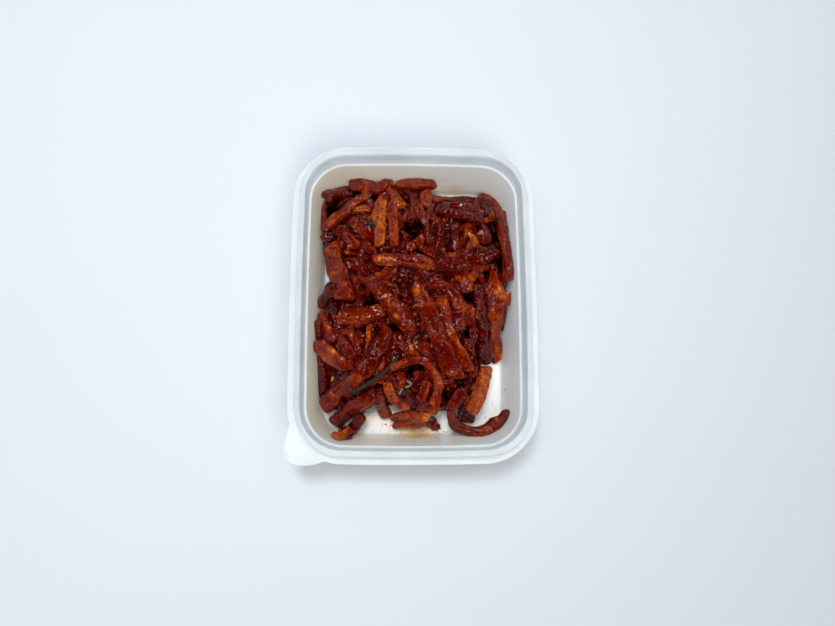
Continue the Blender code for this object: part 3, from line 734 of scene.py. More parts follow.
def spread_map(values, passes):
    """A map blurred by passes of a 1-2-1 average along both of its sides."""
    for _ in range(passes):
        padded = np.pad(values, 1, mode="edge")
        values = 0.25 * padded[:-2, 1:-1] + 0.5 * padded[1:-1, 1:-1] + 0.25 * padded[2:, 1:-1]
        padded = np.pad(values, 1, mode="edge")
        values = 0.25 * padded[1:-1, :-2] + 0.5 * padded[1:-1, 1:-1] + 0.25 * padded[1:-1, 2:]
    return values


def read_map(values, plan):
    """The map's value at plan points, blended between its four nearest cells."""
    place = np.clip(plan / GRID_STEP + GRID_HALF, 0, 2 * GRID_HALF - 1.001)
    low = np.floor(place).astype(int)
    part = place - low
    across = [values[low[..., 0] + step, low[..., 1]] * (1 - part[..., 1])
              + values[low[..., 0] + step, low[..., 1] + 1] * part[..., 1] for step in (0, 1)]
    return across[0] * (1 - part[..., 0]) + across[1] * part[..., 0]


def seen_at(places, level):
    """Places in millimetres as seen at READ_HEIGHT, moved to where they look the same at another level."""
    lift = (EYE[2] - level) / (EYE[2] - READ_HEIGHT)
    return EYE[:2] + (np.array(places) * MM - EYE[:2]) * lift


def pit_share(plan):
    """How deep in a gap plan points are, 0 to 1: a bell, exp(-(distance / radius) squared), at each pit."""
    pits = np.array(PITS)
    apart = np.linalg.norm(plan[..., None, :] - seen_at(pits[:, :2], PIT_LEVEL), axis=-1)
    return np.exp(-(apart / (pits[:, 2] * MM)) ** 2).max(axis=-1)


def pale_and_highlight_share(plan):
    """Bare flesh and painted highlight at plan points: 1 less the product of 1 - strength * exp(-(distance /
    radius)^2).
    """
    places = np.array(BARE_AND_HIGHLIGHT_PLACES)
    apart = np.linalg.norm(plan[..., None, :] - seen_at(places[:, :2], READ_HEIGHT), axis=-1)
    return 1 - (1 - places[:, 3] * np.exp(-(apart / (places[:, 2] * MM)) ** 2)).prod(axis=-1)


heap_level = spread_map(heights, BLUR_PASSES)
print("general level at the middle:", round(float(read_map(heap_level, np.zeros((1, 2)))[0]) / MM, 1), "mm")

# %% [markdown]
# ## Fine strips
# Salted radish goes limp and wrinkles along its length. Its section is a rounded rectangle whose size
# wanders a little. Pepper paste clings to it in lumps about a millimetre wide, thick on the dark strips
# and thin on the amber ones, where the pale flesh shows through.

# %% Strip shapes
SECTION_POWER = 2.5
END_TAPERS = (0.08, 0.55)
END_ROUND = 1.2 * MM
END_SLANT = 0.5
WIDTH_WANDER = 0.28
HEIGHT_WANDER = 0.16
SIDE_WANDER = 0.85 * MM
TWIST_WANDER = math.radians(24)
HOLLOW = 0.34
WRINKLE = 0.42 * MM
LUMP = 0.32 * MM
CLOT = 0.9 * MM
GRAIN = 0.07 * MM
LEAST_TONE = 0.20
DARKEST_TONE = 0.11
TONE_SPAN = 0.70
# Painted shade: how far below the heap's level the tone darkens fully, and by how much.
SHADE_DEPTH = 7.0 * MM
DEEP_SHADE = 0.6
LEAST_ROWS = 14
STRIP_APART = 7.3
WIDTH_CELL = 8 * MM
HEIGHT_CELL = 12 * MM
SIDE_CELL = 7 * MM
TWIST_CELL = 11 * MM
HOLLOW_CELL = 14 * MM
WRINKLE_CELL = 1.4 * MM
WRINKLE_STRETCH = 6
LUMP_CELL = 1.2 * MM
CLOT_CELL = 2.5 * MM
GRAIN_CELL = 0.6 * MM
PATCH_CELLS = (7 * MM, 3 * MM)
# Lumps and grain darken the tone in their hollows as painted shade; paste gathers in the wrinkles' valleys.
TONE_SHARES = {"own": 0.92, "patch": 0.20, "wrinkle": 0.12, "lumps": 0.16, "grain": 0.10}


def strip_path(laid_strip, number, rows, run):
    """A strip's line, its along, side and up ways, and its drift through the noise, at even steps.

    The side way turns slowly about the line, and the line wanders a little along it.
    """
    middle, across, roll = laid_strip[:3]
    line = smooth_route(middle, rows)
    stations = np.arange(len(middle))
    place = np.linspace(0, len(middle) - 1, rows)
    level_side = np.column_stack([np.interp(place, stations, across[:, axis]) for axis in range(2)])
    level_side /= np.linalg.norm(level_side, axis=1, keepdims=True)
    drift = np.column_stack([run, np.full(rows, number * STRIP_APART * MM), np.zeros(rows)])
    twist = np.interp(place, stations, roll) + TWIST_WANDER * value_noise(drift + 0.3, TWIST_CELL)
    side = np.column_stack([level_side * np.cos(twist)[:, None], np.sin(twist)])
    along = np.gradient(line, axis=0)
    along /= np.linalg.norm(along, axis=1, keepdims=True)
    up = np.cross(along, side)
    up *= np.sign(up[:, 2:])
    line = line + SIDE_WANDER * value_noise(drift + 0.6, SIDE_CELL)[:, None] * side
    return line, along, side, up, drift


def strip_taper(number, run, length):
    """How much of its size a strip keeps along its length: narrower ends, each closed by a round cap."""
    share = 2 * run / length - 1
    narrowing = END_TAPERS[0] + (END_TAPERS[1] - END_TAPERS[0]) * (0.5 + 0.5 * math.sin(number * 5.1)) ** 2
    taper = 1 - narrowing * np.abs(share) ** 5 * (1 + 0.4 * np.sign(share) * math.sin(number * 3.3))
    to_end = np.minimum(run, length - run) / END_ROUND
    return taper * np.sqrt(np.clip(1 - (1 - np.clip(to_end, 0, 1)) ** 2, 0.10, 1))


def strip_tone(skin, own, wrinkle, lumps, grain, extra_gap_shade):
    """A strip's tone: own, patches, relief; painted shade in depth and gaps; pale and painted highlight where
    bare.
    """
    patch = value_noise(skin, PATCH_CELLS[0]) + 0.6 * value_noise(skin, PATCH_CELLS[1])
    below_level = read_map(heap_level, skin[..., :2]) - skin[..., 2]
    # Painted shade: the tone darkens below the heap's level and goes black in the gaps, more for the lowest
    # strips.
    depth_shade = np.clip(below_level / SHADE_DEPTH, 0, 1)
    pitted = pit_share(skin[..., :2]) * np.clip(GAP_SHADE_BASE + extra_gap_shade + below_level / (3 * MM), 0, 1)
    # Painted highlight as well as bare flesh: the bare places are pale only on the heap's top, most on
    # ridges.
    on_top = np.clip(1.2 - below_level / (2 * MM), 0, 1)
    pale = pale_and_highlight_share(skin[..., :2]) * on_top * (1.05 + 0.50 * wrinkle)
    parts = {"own": own, "patch": patch, "wrinkle": wrinkle, "lumps": lumps, "grain": grain}
    shade = LEAST_TONE + TONE_SPAN * sum(TONE_SHARES[key] * part for key, part in parts.items())
    shade = np.maximum(np.clip(shade, LEAST_TONE, 1) - DEEP_SHADE * depth_shade, DARKEST_TONE)
    return np.clip(np.maximum(shade - pitted, pale), 0, 1)


def fine_strip(laid_strip, number, step, columns, extra_gap_shade=0.0):
    """A strip's grid of points and its tone: a superellipse section along the laid line, plus relief.

    The section is w * |cos|^(2/p), t * |sin|^(2/p). Relief is wrinkles, lumps of paste and grain.
    """
    middle, _, _, width, thickness, own_tone = laid_strip
    length = np.linalg.norm(np.diff(middle, axis=0), axis=1).sum()
    rows = max(LEAST_ROWS, int(length / step))
    run = np.linspace(0, length, rows)
    line, along, side, up, drift = strip_path(laid_strip, number, rows, run)
    taper = strip_taper(number, run, length)
    wide = 0.5 * width * taper * (1 + WIDTH_WANDER * value_noise(drift, WIDTH_CELL))
    tall = 0.5 * thickness * taper * (1 + HEIGHT_WANDER * value_noise(drift + 0.9, HEIGHT_CELL))
    turn = 2 * math.pi * (np.arange(columns) + 0.5) / columns
    cosine, sine = np.cos(turn), np.sin(turn)
    flat = np.sign(cosine) * np.abs(cosine) ** (2 / SECTION_POWER)
    high = np.sign(sine) * np.abs(sine) ** (2 / SECTION_POWER)
    sunken = HOLLOW * (0.5 + 0.5 * value_noise(drift + 1.2, HOLLOW_CELL))
    high = high[None, :] * (1 - sunken[:, None] * (1 - flat[None, :] ** 2))
    share = 2 * run / length - 1
    slant = END_SLANT * math.sin(number * 2.4) * np.sign(share) * np.abs(share) ** 9
    offset = ((wide[:, None] * flat[None, :])[..., None] * side[:, None, :]
              + (tall[:, None] * high)[..., None] * up[:, None, :]
              + (slant[:, None] * wide[:, None] * flat[None, :])[..., None] * along[:, None, :])
    skin = line[:, None, :] + offset
    outward = cosine[None, :, None] * side[:, None, :] + 1.3 * sine[None, :, None] * up[:, None, :]
    outward /= np.linalg.norm(outward, axis=-1, keepdims=True)
    rolled = np.stack([
        np.broadcast_to(run[:, None] / WRINKLE_STRETCH, (rows, columns)),
        wide[:, None] * flat[None, :],
        tall[:, None] * high + number * 11.7 * MM,
    ], axis=-1)
    wrinkle = value_noise(rolled, WRINKLE_CELL)
    lumps = value_noise(skin, LUMP_CELL)
    grain = value_noise(skin, GRAIN_CELL)
    shade = strip_tone(skin, own_tone, wrinkle, lumps, grain, extra_gap_shade)
    paste = np.clip(1.15 - shade, 0.15, 1)
    clots = np.clip(value_noise(skin, CLOT_CELL) - 0.1, 0, 1)
    relief = WRINKLE * wrinkle + paste * (LUMP * lumps + GRAIN * grain + CLOT * clots)
    skin = skin + (relief * np.clip(taper, 0.4, 1)[:, None])[..., None] * outward
    return keep_inside(skin.reshape(-1, 3)).reshape(skin.shape), shade


# %% [markdown]
# ## What wet seasoned radish looks like
# The paste is dark red, the flesh under it amber, and both are wet. The colour runs from near black red
# through brick red to amber along each strip's tone. A little light goes into the flesh and comes out
# red. A clear coat over fine grain breaks the lamps into the many small sparkles of the wet paste.

# %% Food materials
COAT_ROUGHNESS = 0.09
MOTTLE_SCALE = 650.0
MOTTLE_SHARE = 0.40
SPECK_SCALE = 900.0
SPECK_CODE = "#2a0300"
# The darkest stops carry painted shade in depths and gaps; the palest, bare flesh and painted highlight.
RADISH_STOPS = (
    (0.00, "#030000"), (0.20, "#300100"), (0.38, "#420401"), (0.55, "#580f01"),
    (0.72, "#762a03"), (0.88, "#984e08"), (1.00, "#bd8048"),
)
# Extra painted shade in the gaps for the lowest strips.
LOW_GAP_SHADE = 0.6
MIDDLE_FIRST = 50
TOP_FIRST = 90


def wet_food(name, stops, tone_source, roughness, coat, grain_mm, grain_depth, glow):
    """A wet food: a colour ramp over a mottled tone, dark specks, and a clear coat over one fine bump."""
    material, tree, shader = new_material(name, {
        "Roughness": roughness,
        "Coat Roughness": COAT_ROUGHNESS,
        "Coat IOR": 1.50,
        "Specular IOR Level": 0.0,
        "Subsurface Weight": glow,
        "Subsurface Scale": 0.0012,
        "Subsurface Radius": (1.0, 0.30, 0.10),
    })
    place = add_node(tree, "ShaderNodeTexCoord").outputs["Object"]
    tone = tone_source(tree, place)
    # The coat follows the tone: where it is darkest, as in painted shade, the coat thins and takes the glints
    # away.
    wet = add_node(tree, "ShaderNodeMapRange", {
        "Value": tone, "From Min": 0.0, "From Max": 0.25, "To Min": 0.1 * coat, "To Max": coat,
    })
    tree.links.new(wet.outputs[0], shader.inputs["Coat Weight"])
    mottle = add_node(tree, "ShaderNodeTexNoise", {
        "Vector": place, "Scale": MOTTLE_SCALE, "Detail": 3.0, "Roughness": 0.6,
    })
    shifted = add_node(tree, "ShaderNodeMath", {0: mottle.outputs["Fac"], 1: 0.5}, operation="SUBTRACT")
    mottled = {0: shifted.outputs[0], 1: MOTTLE_SHARE, 2: tone}
    scaled = add_node(tree, "ShaderNodeMath", mottled, operation="MULTIPLY_ADD")
    ramp = add_node(tree, "ShaderNodeValToRGB", {"Fac": scaled.outputs[0]})
    set_ramp(ramp, stops)
    specks = add_node(tree, "ShaderNodeTexVoronoi", {
        "Vector": place, "Scale": SPECK_SCALE, "Randomness": 1.0,
    })
    near = add_node(tree, "ShaderNodeMapRange", {
        "Value": specks.outputs["Distance"], "From Min": 0.10, "From Max": 0.34, "To Min": 0.4, "To Max": 0.0,
    })
    blend = {0: near.outputs[0], 6: ramp.outputs["Color"], 7: colour(SPECK_CODE)}
    speckled = add_node(tree, "ShaderNodeMix", blend, data_type="RGBA")
    tree.links.new(speckled.outputs[2], shader.inputs["Base Color"])
    fine = add_node(tree, "ShaderNodeTexNoise", {
        "Vector": place, "Scale": 1 / (grain_mm * MM), "Detail": 0.0, "Roughness": 0.5,
    })
    bump = add_node(tree, "ShaderNodeBump", {
        "Height": fine.outputs["Fac"], "Strength": 0.8, "Distance": grain_depth * MM,
    })
    tree.links.new(bump.outputs["Normal"], shader.inputs["Normal"])
    tree.links.new(bump.outputs["Normal"], shader.inputs["Coat Normal"])
    return material


def tone_from_points(tree, place):
    """The tone stored on the mesh's points."""
    return add_node(tree, "ShaderNodeAttribute", attribute_name="tone").outputs["Fac"]


def strips_object(name, strips):
    """One piece made of many fine strips, each a grid and its tone."""
    grids = [grid for grid, _ in strips]
    tones = [shade for _, shade in strips]
    return grid_object(name, grids, {"tone": tones}, seasoned_radish, "kimchi")


# Wet salted radish in pepper paste: dark red where the paste is thick, amber flesh where it is thin.
# Its tone also carries painted shade in depths and gaps, and painted highlight at bare places.
seasoned_radish = wet_food(
    "radish in pepper paste", RADISH_STOPS, tone_from_points, 0.6, 1.0, 1.4, 0.25, 0.04)

# Each layer: name, laid strips, the first one's number, step, points round, extra painted shade in gaps.
low_end = UNDER_COUNT + len(LOWER_STRIPS)
middle_end = low_end + len(MIDDLE_STRIPS)
layers = (
    ("radish_strips_low", laid[:low_end], 0, 0.60 * MM, 30, LOW_GAP_SHADE),
    ("radish_strips_middle", laid[low_end:middle_end], MIDDLE_FIRST, 0.38 * MM, 42, 0.0),
    ("radish_strips_top", laid[middle_end:], TOP_FIRST, 0.38 * MM, 44, 0.0),
)
strip_pieces = []
for name, layer, first, step, columns, extra_gap_shade in layers:
    made = [fine_strip(strip, first + index, step, columns, extra_gap_shade) for index, strip in enumerate(layer)]
    strip_pieces.append(strips_object(name, made))

# %% [markdown]
# ## The mass between the strips
# Between the strips one looks down on smaller scraps held in paste. They are one bumpy mass: the core of
# the solid heap, raised to a little below the strips' tops. It is the height map, blurred and lowered.
# In a few places it falls away into the deep gaps that a loose heap has, painted black there as shade.
# Painted shade also keeps the mass dark overall, and darker in the hollows of its bumps.

# %% Mass between the strips
CORE_COLUMNS = 300
CORE_RINGS = 130
FILL_DEPTH = 1.9 * MM
UNDER_STRIP = 1.0 * MM
PIT_DEPTH = 8.0 * MM
CORE_BUMPS = ((0.8, 3.6), (0.45, 1.6), (0.22, 0.8))
PASTE_STOPS = ((0.0, "#030000"), (0.3, "#2c0100"), (0.6, "#470501"), (1.0, "#6a1d03"))


def core_grid(fill):
    """Rows from the middle of the base, out to the edge and back over the top to the middle."""
    angle = np.linspace(0, 2 * math.pi, CORE_COLUMNS, endpoint=False)
    outline = np.column_stack([np.cos(angle), np.sin(angle)]) * core_radius(angle)[:, None]
    base_shares = np.array((0.05, 0.4, 0.8, 0.93))
    edge_shares = np.linspace(0.93, 1.0, 8)[1:]
    top_shares = np.linspace(0.99, 0.01, CORE_RINGS)
    floor = WALL + FOOD_GAP
    shares = np.concatenate([base_shares, edge_shares, top_shares])
    tops = floor + (CORE_TOP - floor) * np.sqrt(1 - top_shares ** 9)
    levels = np.concatenate([np.full(4, floor), np.linspace(floor, 0.35 * CORE_TOP, 8)[1:], tops])
    plan = outline[None, :, :] * shares[:, None, None]
    height = np.broadcast_to(levels[:, None], plan.shape[:2]).copy()
    is_top = (np.arange(len(shares)) >= len(shares) - CORE_RINGS)[:, None]
    height = np.where(is_top, np.maximum(height, read_map(fill, plan)), height)
    points = np.dstack([plan, height])
    relief = sum(depth * value_noise(points, cell * MM) for depth, cell in CORE_BUMPS)
    points[..., 2] += np.where(is_top, (relief - 0.4) * MM - PIT_DEPTH * pit_share(plan), 0)
    points[..., 2] = np.maximum(points[..., 2], floor)
    return keep_inside(points.reshape(-1, 3)).reshape(points.shape), relief


# Thick dark pepper paste: deep red, and nothing pale in it.
pepper_paste = wet_food("pepper paste and scraps", PASTE_STOPS, tone_from_points, 0.6, 1.0, 0.9, 0.17, 0.0)
strip_cells = np.zeros_like(heights)
for middle_line, across_line, _, width, thickness, _ in laid[UNDER_COUNT:]:
    raise_heights(strip_cells, middle_line, across_line, width, thickness)
ceiling = np.where(strip_cells > 0, strip_cells - UNDER_STRIP, BOX_HEIGHT)
fill = np.minimum(heap_level - FILL_DEPTH, ceiling)
core_points, core_relief = core_grid(fill)
# Painted shade: a low tone, darker in the hollows of the relief and black at the gaps.
core_tone_and_shade = np.clip(0.30 + 0.40 * core_relief - 0.9 * pit_share(core_points[..., :2]), 0, 1)
core = grid_object("paste_and_scraps", [core_points], {"tone": [core_tone_and_shade]}, pepper_paste, "kimchi")

# %% [markdown]
# ## Scraps
# The ends and splinters of the cut radish lie in the gaps, half sunk in the mass. They are laid by the
# same rule as the strips, over the mass instead of the solids, where the height map has a dip. A few that
# can be told apart are listed and laid first.

# %% Scraps
EYE_SCRAPS = (
    (3.0, ((25.5, 39), (28, 36), (30, 32)), 0.80),
    (4.0, ((27, -2), (28, -10), (28.5, -20)), 0.35),
    (5.5, ((-4, -43), (-2, -41), (1, -40)), 0.02),
    (4.5, ((33.0, 51.5), (36.5, 50), (38.5, 46)), 0.20),
    (4.0, ((32, 48), (35, 47), (37.5, 45)), 0.15),
    (4.0, ((18, 49.5), (25, 49), (31, 47.5)), 0.25),
    (4.0, ((-10, -58.8), (-2, -57.8), (6, -57.5)), 0.75),
    (3.2, ((8, -57.5), (10, -59.5), (12.5, -58.5)), 0.60),
)
EYE_SCRAP_DROP = 1.2 * MM
SCRAP_SEED = 11
SCRAP_TRIES = 520
MOST_SCRAPS = 110
SCRAP_SPREAD = np.array((43, 57))
SCRAP_WIDTHS = (2.0, 4.4)
SCRAP_LENGTHS = (7, 19)
SCRAP_TONES = (0.15, 0.65)
MOST_SCRAP_BEND = 2.5
SCRAP_MARGIN = 2
LEAST_DIP = 0.4 * MM
MOST_PITTED = 0.25
SCRAP_FIRST = 200


def scrap_routes():
    """Short bent routes where the heap dips, spread by the golden angle, with drawn size and direction."""
    draw = np.random.default_rng(SCRAP_SEED)
    dip = heights - heap_level
    routes = []
    for number in range(SCRAP_TRIES):
        middle = golden_place(number, SCRAP_TRIES, SCRAP_SPREAD)
        width = draw.uniform(*SCRAP_WIDTHS)
        length = draw.uniform(*SCRAP_LENGTHS)
        tone = draw.uniform(*SCRAP_TONES)
        angle = draw.uniform(0, math.pi)
        bend = draw.uniform(-MOST_SCRAP_BEND, MOST_SCRAP_BEND)
        way = np.array((math.cos(angle), math.sin(angle)))
        bent = middle + bend * way[::-1] * (-1, 1)
        route = np.array((middle - 0.5 * length * way, bent, middle + 0.5 * length * way))
        outside = np.linalg.norm(route, axis=1) > core_reach(route) / MM - SCRAP_MARGIN
        dips = dip[grid_index(middle[None, :] * MM)][0] < -LEAST_DIP
        pitted = pit_share(route * MM).max() > MOST_PITTED
        if dips and not pitted and not outside.any() and len(routes) < MOST_SCRAPS:
            routes.append((width * MM, route, tone))
    return routes


scraps = []
for width, route, tone in EYE_SCRAPS:
    thickness = STRIP_THICKNESS * width * MM
    line = drape(route, width * MM, thickness, MOST_CLIMB, heights - EYE_SCRAP_DROP)
    scraps.append(fine_strip((*line, width * MM, thickness, tone), SCRAP_FIRST + len(scraps), 0.45 * MM, 28))
scrap_ground = fill.copy()
for width, route, tone in scrap_routes():
    thickness = STRIP_THICKNESS * width
    middle_line, across_line, roll = drape(route, width, thickness, 0.0, scrap_ground)
    offsets = np.linspace(-0.5, 0.5, 5)[None, :, None] * width
    sides = middle_line[:, None, :2] + offsets * across_line[:, None, :]
    lowest = ceiling[grid_index(sides)].reshape(-1, 5).min(axis=1)
    middle_line[:, 2] = np.minimum(middle_line[:, 2], lowest + 0.6 * MM - 0.5 * thickness)
    raise_heights(scrap_ground, middle_line, across_line, width, thickness)
    scrap = (middle_line, across_line, roll, width, thickness, tone)
    scraps.append(fine_strip(scrap, SCRAP_FIRST + len(scraps), 0.5 * MM, 26))
scrap_piece = strips_object("radish_scraps", scraps)
print("scraps:", len(scraps))

# %% [markdown]
# ## The box
# Polypropylene is milky: a part of the light goes right through the thin wall and comes out scattered, so
# the walls glow softly, and the floor, which lies on the pale table, looks whiter than the free rim. Sauce
# has left a brown wash and speckles round the heap. The wash is stored on the points of the box as a stain
# that fades with the distance from the food.

# %% Box
FLOOR_RINGS = 62
FLOOR_LIGHT_THROUGH = 0.10
WALL_LIGHT_THROUGH = 0.78
FOOD_HEIGHT = 0.002
FAR_CELLS = 99.0
SPREAD_STEPS = 14
STAIN_HEIGHT = 0.009
FILM = 0.13
STAIN_SPOTS = (
    (20, 62, 11.0, 0.30), (36, 57, 9.0, 0.30), (3, -63, 10.0, 0.55), (-13, -61, 7.0, 0.22),
    (-45, 22, 7.0, 0.26), (-44, -57, 7.0, 0.20), (46, -41, 1.6, 0.5), (47, -46, 1.2, 0.3),
    (-30, 63, 6.0, 0.26), (48, 2, 3.0, 0.3), (3, -59, 14.0, 0.16), (-45.5, 5, 5.0, 0.2),
    (12, -62.5, 3.0, 0.3), (-20, -55, 4.0, 0.25),
)


def heap_distance(plan):
    """How far plan points are from the food's outline, from repeated spreading on the height map."""
    covered = heights > WALL + FOOD_GAP + FOOD_HEIGHT
    reach = np.where(covered, 0.0, FAR_CELLS)
    for _ in range(SPREAD_STEPS):
        padded = np.pad(reach, 1, constant_values=FAR_CELLS)
        beside = [padded[:-2, 1:-1], padded[2:, 1:-1], padded[1:-1, :-2], padded[1:-1, 2:]]
        aslant = [padded[:-2, :-2], padded[2:, 2:], padded[2:, :-2], padded[:-2, 2:]]
        straight = np.minimum.reduce(beside) + 1
        slanted = np.minimum.reduce(aslant) + 1.414
        reach = np.minimum.reduce([reach, straight, slanted])
    return reach[grid_index(plan)].reshape(plan.shape[:-1]) * GRID_STEP


def box_grid():
    """Rows of the outline from the floor's middle, along the section and back to the base's middle."""
    push = tab_push(box_outline(-FLANGE_REACH))
    rows = []
    stand = box_outline(STAND_INSET)
    for share in np.linspace(0.01, 1, FLOOR_RINGS)[:-1]:
        rows.append(np.column_stack([stand * share, np.full(len(stand), WALL)]))
    for (outward, height), share in zip(section, tab_share):
        ring = box_outline(-outward) + share * push
        rows.append(np.column_stack([ring, np.full(len(ring), height)]))
    for share in (0.98, 0.6, 0.2):
        rows.append(np.column_stack([stand * share, np.zeros(len(stand))]))
    return np.stack(rows)


box_points = box_grid()
near_heap = np.exp(-heap_distance(box_points[..., :2]) / (1.8 * MM))
low_down = np.exp(-np.maximum(box_points[..., 2] - STAIN_HEIGHT, 0) / (5 * MM))
blotch = 0.6 + 0.4 * value_noise(box_points, 3.4 * MM) + 0.2 * value_noise(box_points, 1.3 * MM)
stain = 0.22 * near_heap * low_down * np.clip(blotch, 0, 1)
across_box = box_points[..., 0] / (RIM_WIDTH / 2)
along_box = box_points[..., 1] / (RIM_LENGTH / 2)
on_wall = np.clip((box_points[..., 2] - 1.3 * MM) / (2 * MM), 0, 1)
film = on_wall * FILM * (1 - 0.55 * across_box + 0.35 * along_box ** 2) * (0.8 + 0.2 * blotch)
stain = np.maximum(stain, film)
for x, y, radius, strength in STAIN_SPOTS:
    apart = np.linalg.norm(box_points[..., :2] - np.array((x, y)) * MM, axis=-1) / (radius * MM)
    held = low_down if radius > 3 else 1.0
    stain = np.maximum(stain, strength * held * np.exp(-apart ** 2) * np.clip(0.4 + 0.6 * blotch, 0, 1))
inner_rows = (np.arange(len(box_points)) < FLOOR_RINGS + half_way)[:, None]
inside = inner_rows & (box_points[..., 2] < ledge - LEDGE_SLOPE)
stain = np.where(inside, stain, 0.0)

# Thin milky plastic: satin, near white, partly lit through, with the sauce wash laid over its colour.
polypropylene, tree, shader = new_material("translucent polypropylene", {
    "Roughness": 0.30,
    "IOR": 1.49,
    "Subsurface Weight": 0.35,
    "Subsurface Scale": 0.003,
    "Subsurface Radius": (1.0, 1.0, 1.0),
})
place = add_node(tree, "ShaderNodeTexCoord").outputs["Object"]
stained = add_node(tree, "ShaderNodeAttribute", attribute_name="stain")
haze = add_node(tree, "ShaderNodeTexNoise", {"Vector": place, "Scale": 60.0, "Detail": 3.0})
milk = add_node(tree, "ShaderNodeValToRGB", {"Fac": haze.outputs["Fac"]})
set_ramp(milk, ((0.3, "#ecf1f3"), (0.7, "#f4f8fa")))
wash = add_node(tree, "ShaderNodeValToRGB", {"Fac": stained.outputs["Fac"]})
set_ramp(wash, ((0.0, "#f6f1e4"), (0.30, "#ecd0a4"), (0.6, "#d89c58"), (1.0, "#a85a20")))
amount = add_node(tree, "ShaderNodeMapRange", {
    "Value": stained.outputs["Fac"], "From Min": 0.02, "From Max": 0.3,
})
blend = {0: amount.outputs[0], 6: milk.outputs["Color"], 7: wash.outputs["Color"]}
surface = add_node(tree, "ShaderNodeMix", blend, data_type="RGBA")
tree.links.new(surface.outputs[2], shader.inputs["Base Color"])
satin = add_node(tree, "ShaderNodeTexNoise", {"Vector": place, "Scale": 900.0, "Detail": 2.0})
bump = add_node(tree, "ShaderNodeBump", {
    "Height": satin.outputs["Fac"], "Strength": 0.25, "Distance": 0.02 * MM,
})
tree.links.new(bump.outputs["Normal"], shader.inputs["Normal"])
passing = add_node(tree, "ShaderNodeBsdfTranslucent", {"Color": surface.outputs[2]})
level = add_node(tree, "ShaderNodeSeparateXYZ", {"Vector": place})
through = add_node(tree, "ShaderNodeMapRange", {
    "Value": level.outputs["Z"], "From Min": 0.004, "From Max": 0.040,
    "To Min": FLOOR_LIGHT_THROUGH, "To Max": WALL_LIGHT_THROUGH,
})
milky = add_node(tree, "ShaderNodeMixShader", {
    0: through.outputs[0], 1: shader.outputs[0], 2: passing.outputs[0],
})
tree.links.new(milky.outputs[0], tree.nodes["Material Output"].inputs["Surface"])
food_box = grid_object("food_box", [box_points], {"stain": [stain]}, polypropylene, "tub")

# %% [markdown]
# ## Stem and seeds
# One thin pepper stem lies across the heap, dark olive and ribbed, along its own laid line. The two sesame
# seeds that stick in the paste are egg shapes. They are set down in the next cell, where rays find the
# food's surface.

# %% Stem and seeds
STEM_RINGS = 34
SEED_SIZE = np.array((1.35, 0.9, 0.55)) * MM
SEED_SINK = 0.1 * MM
SEED_PLACES = ((-13.5, 4), (-39.5, -36))
STEM_STOPS = ((0.0, "#110e08"), (0.5, "#262114"), (1.0, "#403a28"))
SEED_STOPS = ((0.0, "#5c300e"), (0.5, "#94602a"), (1.0, "#b48848"))


def stem_grid(laid_line, rows, columns):
    """A ringed tube on the laid line: radius * (1 + 0.07 * cos(2 pi * run / pitch)), thinner to one end."""
    middle = smooth_route(laid_line[0], rows)
    along = np.gradient(middle, axis=0)
    along /= np.linalg.norm(along, axis=1, keepdims=True)
    side = np.cross(along, (0.0, 0.0, 1.0))
    side /= np.linalg.norm(side, axis=1, keepdims=True)
    up = np.cross(side, along)
    turn = 2 * math.pi * np.arange(columns) / columns
    part = np.linspace(0, 1, rows)
    radius = 0.5 * STEM_WIDTH * MM * (1.02 - 0.34 * part) * np.clip(np.minimum(part, 1 - part) * 40, 0.55, 1)
    radius = radius[:, None] * (1 + 0.05 * np.cos(5 * turn))[None, :]
    radius *= 1 + 0.07 * np.cos(2 * math.pi * part * STEM_RINGS)[:, None]
    return (middle[:, None, :] + (radius * np.cos(turn))[..., None] * side[:, None, :]
            + (radius * np.sin(turn))[..., None] * up[:, None, :])


def egg_grid(centre, size, turned_by, rows=14, columns=20):
    """An egg: size * (cos(a) cos(t), sin(a) cos(t), sin(t)), pointed at one end, turned about upright."""
    tilt = np.linspace(-0.49 * math.pi, 0.49 * math.pi, rows)[:, None]
    turn = 2 * math.pi * np.arange(columns)[None, :] / columns
    along = np.cos(turn) * np.cos(tilt)
    across = np.sin(turn) * np.cos(tilt) * (1 - 0.28 * along)
    upward = np.sin(tilt) + 0 * turn
    shape = np.dstack([along, across, upward]) * size
    cosine, sine = math.cos(turned_by), math.sin(turned_by)
    spin = np.array(((cosine, sine, 0), (-sine, cosine, 0), (0, 0, 1)))
    return shape @ spin + centre


def plain_tone(tree, place):
    """A tone from 0 to 1 that wanders over about two millimetres."""
    wander = {"Vector": place, "Scale": 420.0, "Detail": 2.0}
    return add_node(tree, "ShaderNodeTexNoise", wander).outputs["Fac"]


# A dull olive pepper stem, half as wet as the paste, and glossy tan sesame hulls.
stem_skin = wet_food("pepper stem", STEM_STOPS, plain_tone, 0.45, 0.5, 0.6, 0.12, 0.0)
seed_hull = wet_food("sesame seed", SEED_STOPS, plain_tone, 0.40, 0.7, 0.7, 0.06, 0.1)
grid_object("pepper_stem", [stem_grid(stem_line, 260, 28)], {}, stem_skin, "kimchi")

# %% [markdown]
# ## Pepper flakes and leaf scraps
# Coarse pepper flakes stick flat to the paste all over. Each is a thin uneven plate a millimetre across,
# found by dropping a straight line on the strips below a drawn place, and laid square to what it hits.
# A few scraps of green leaf are larger plates at the places where they show, and one pale curl of onion is
# a small strip laid like the others.

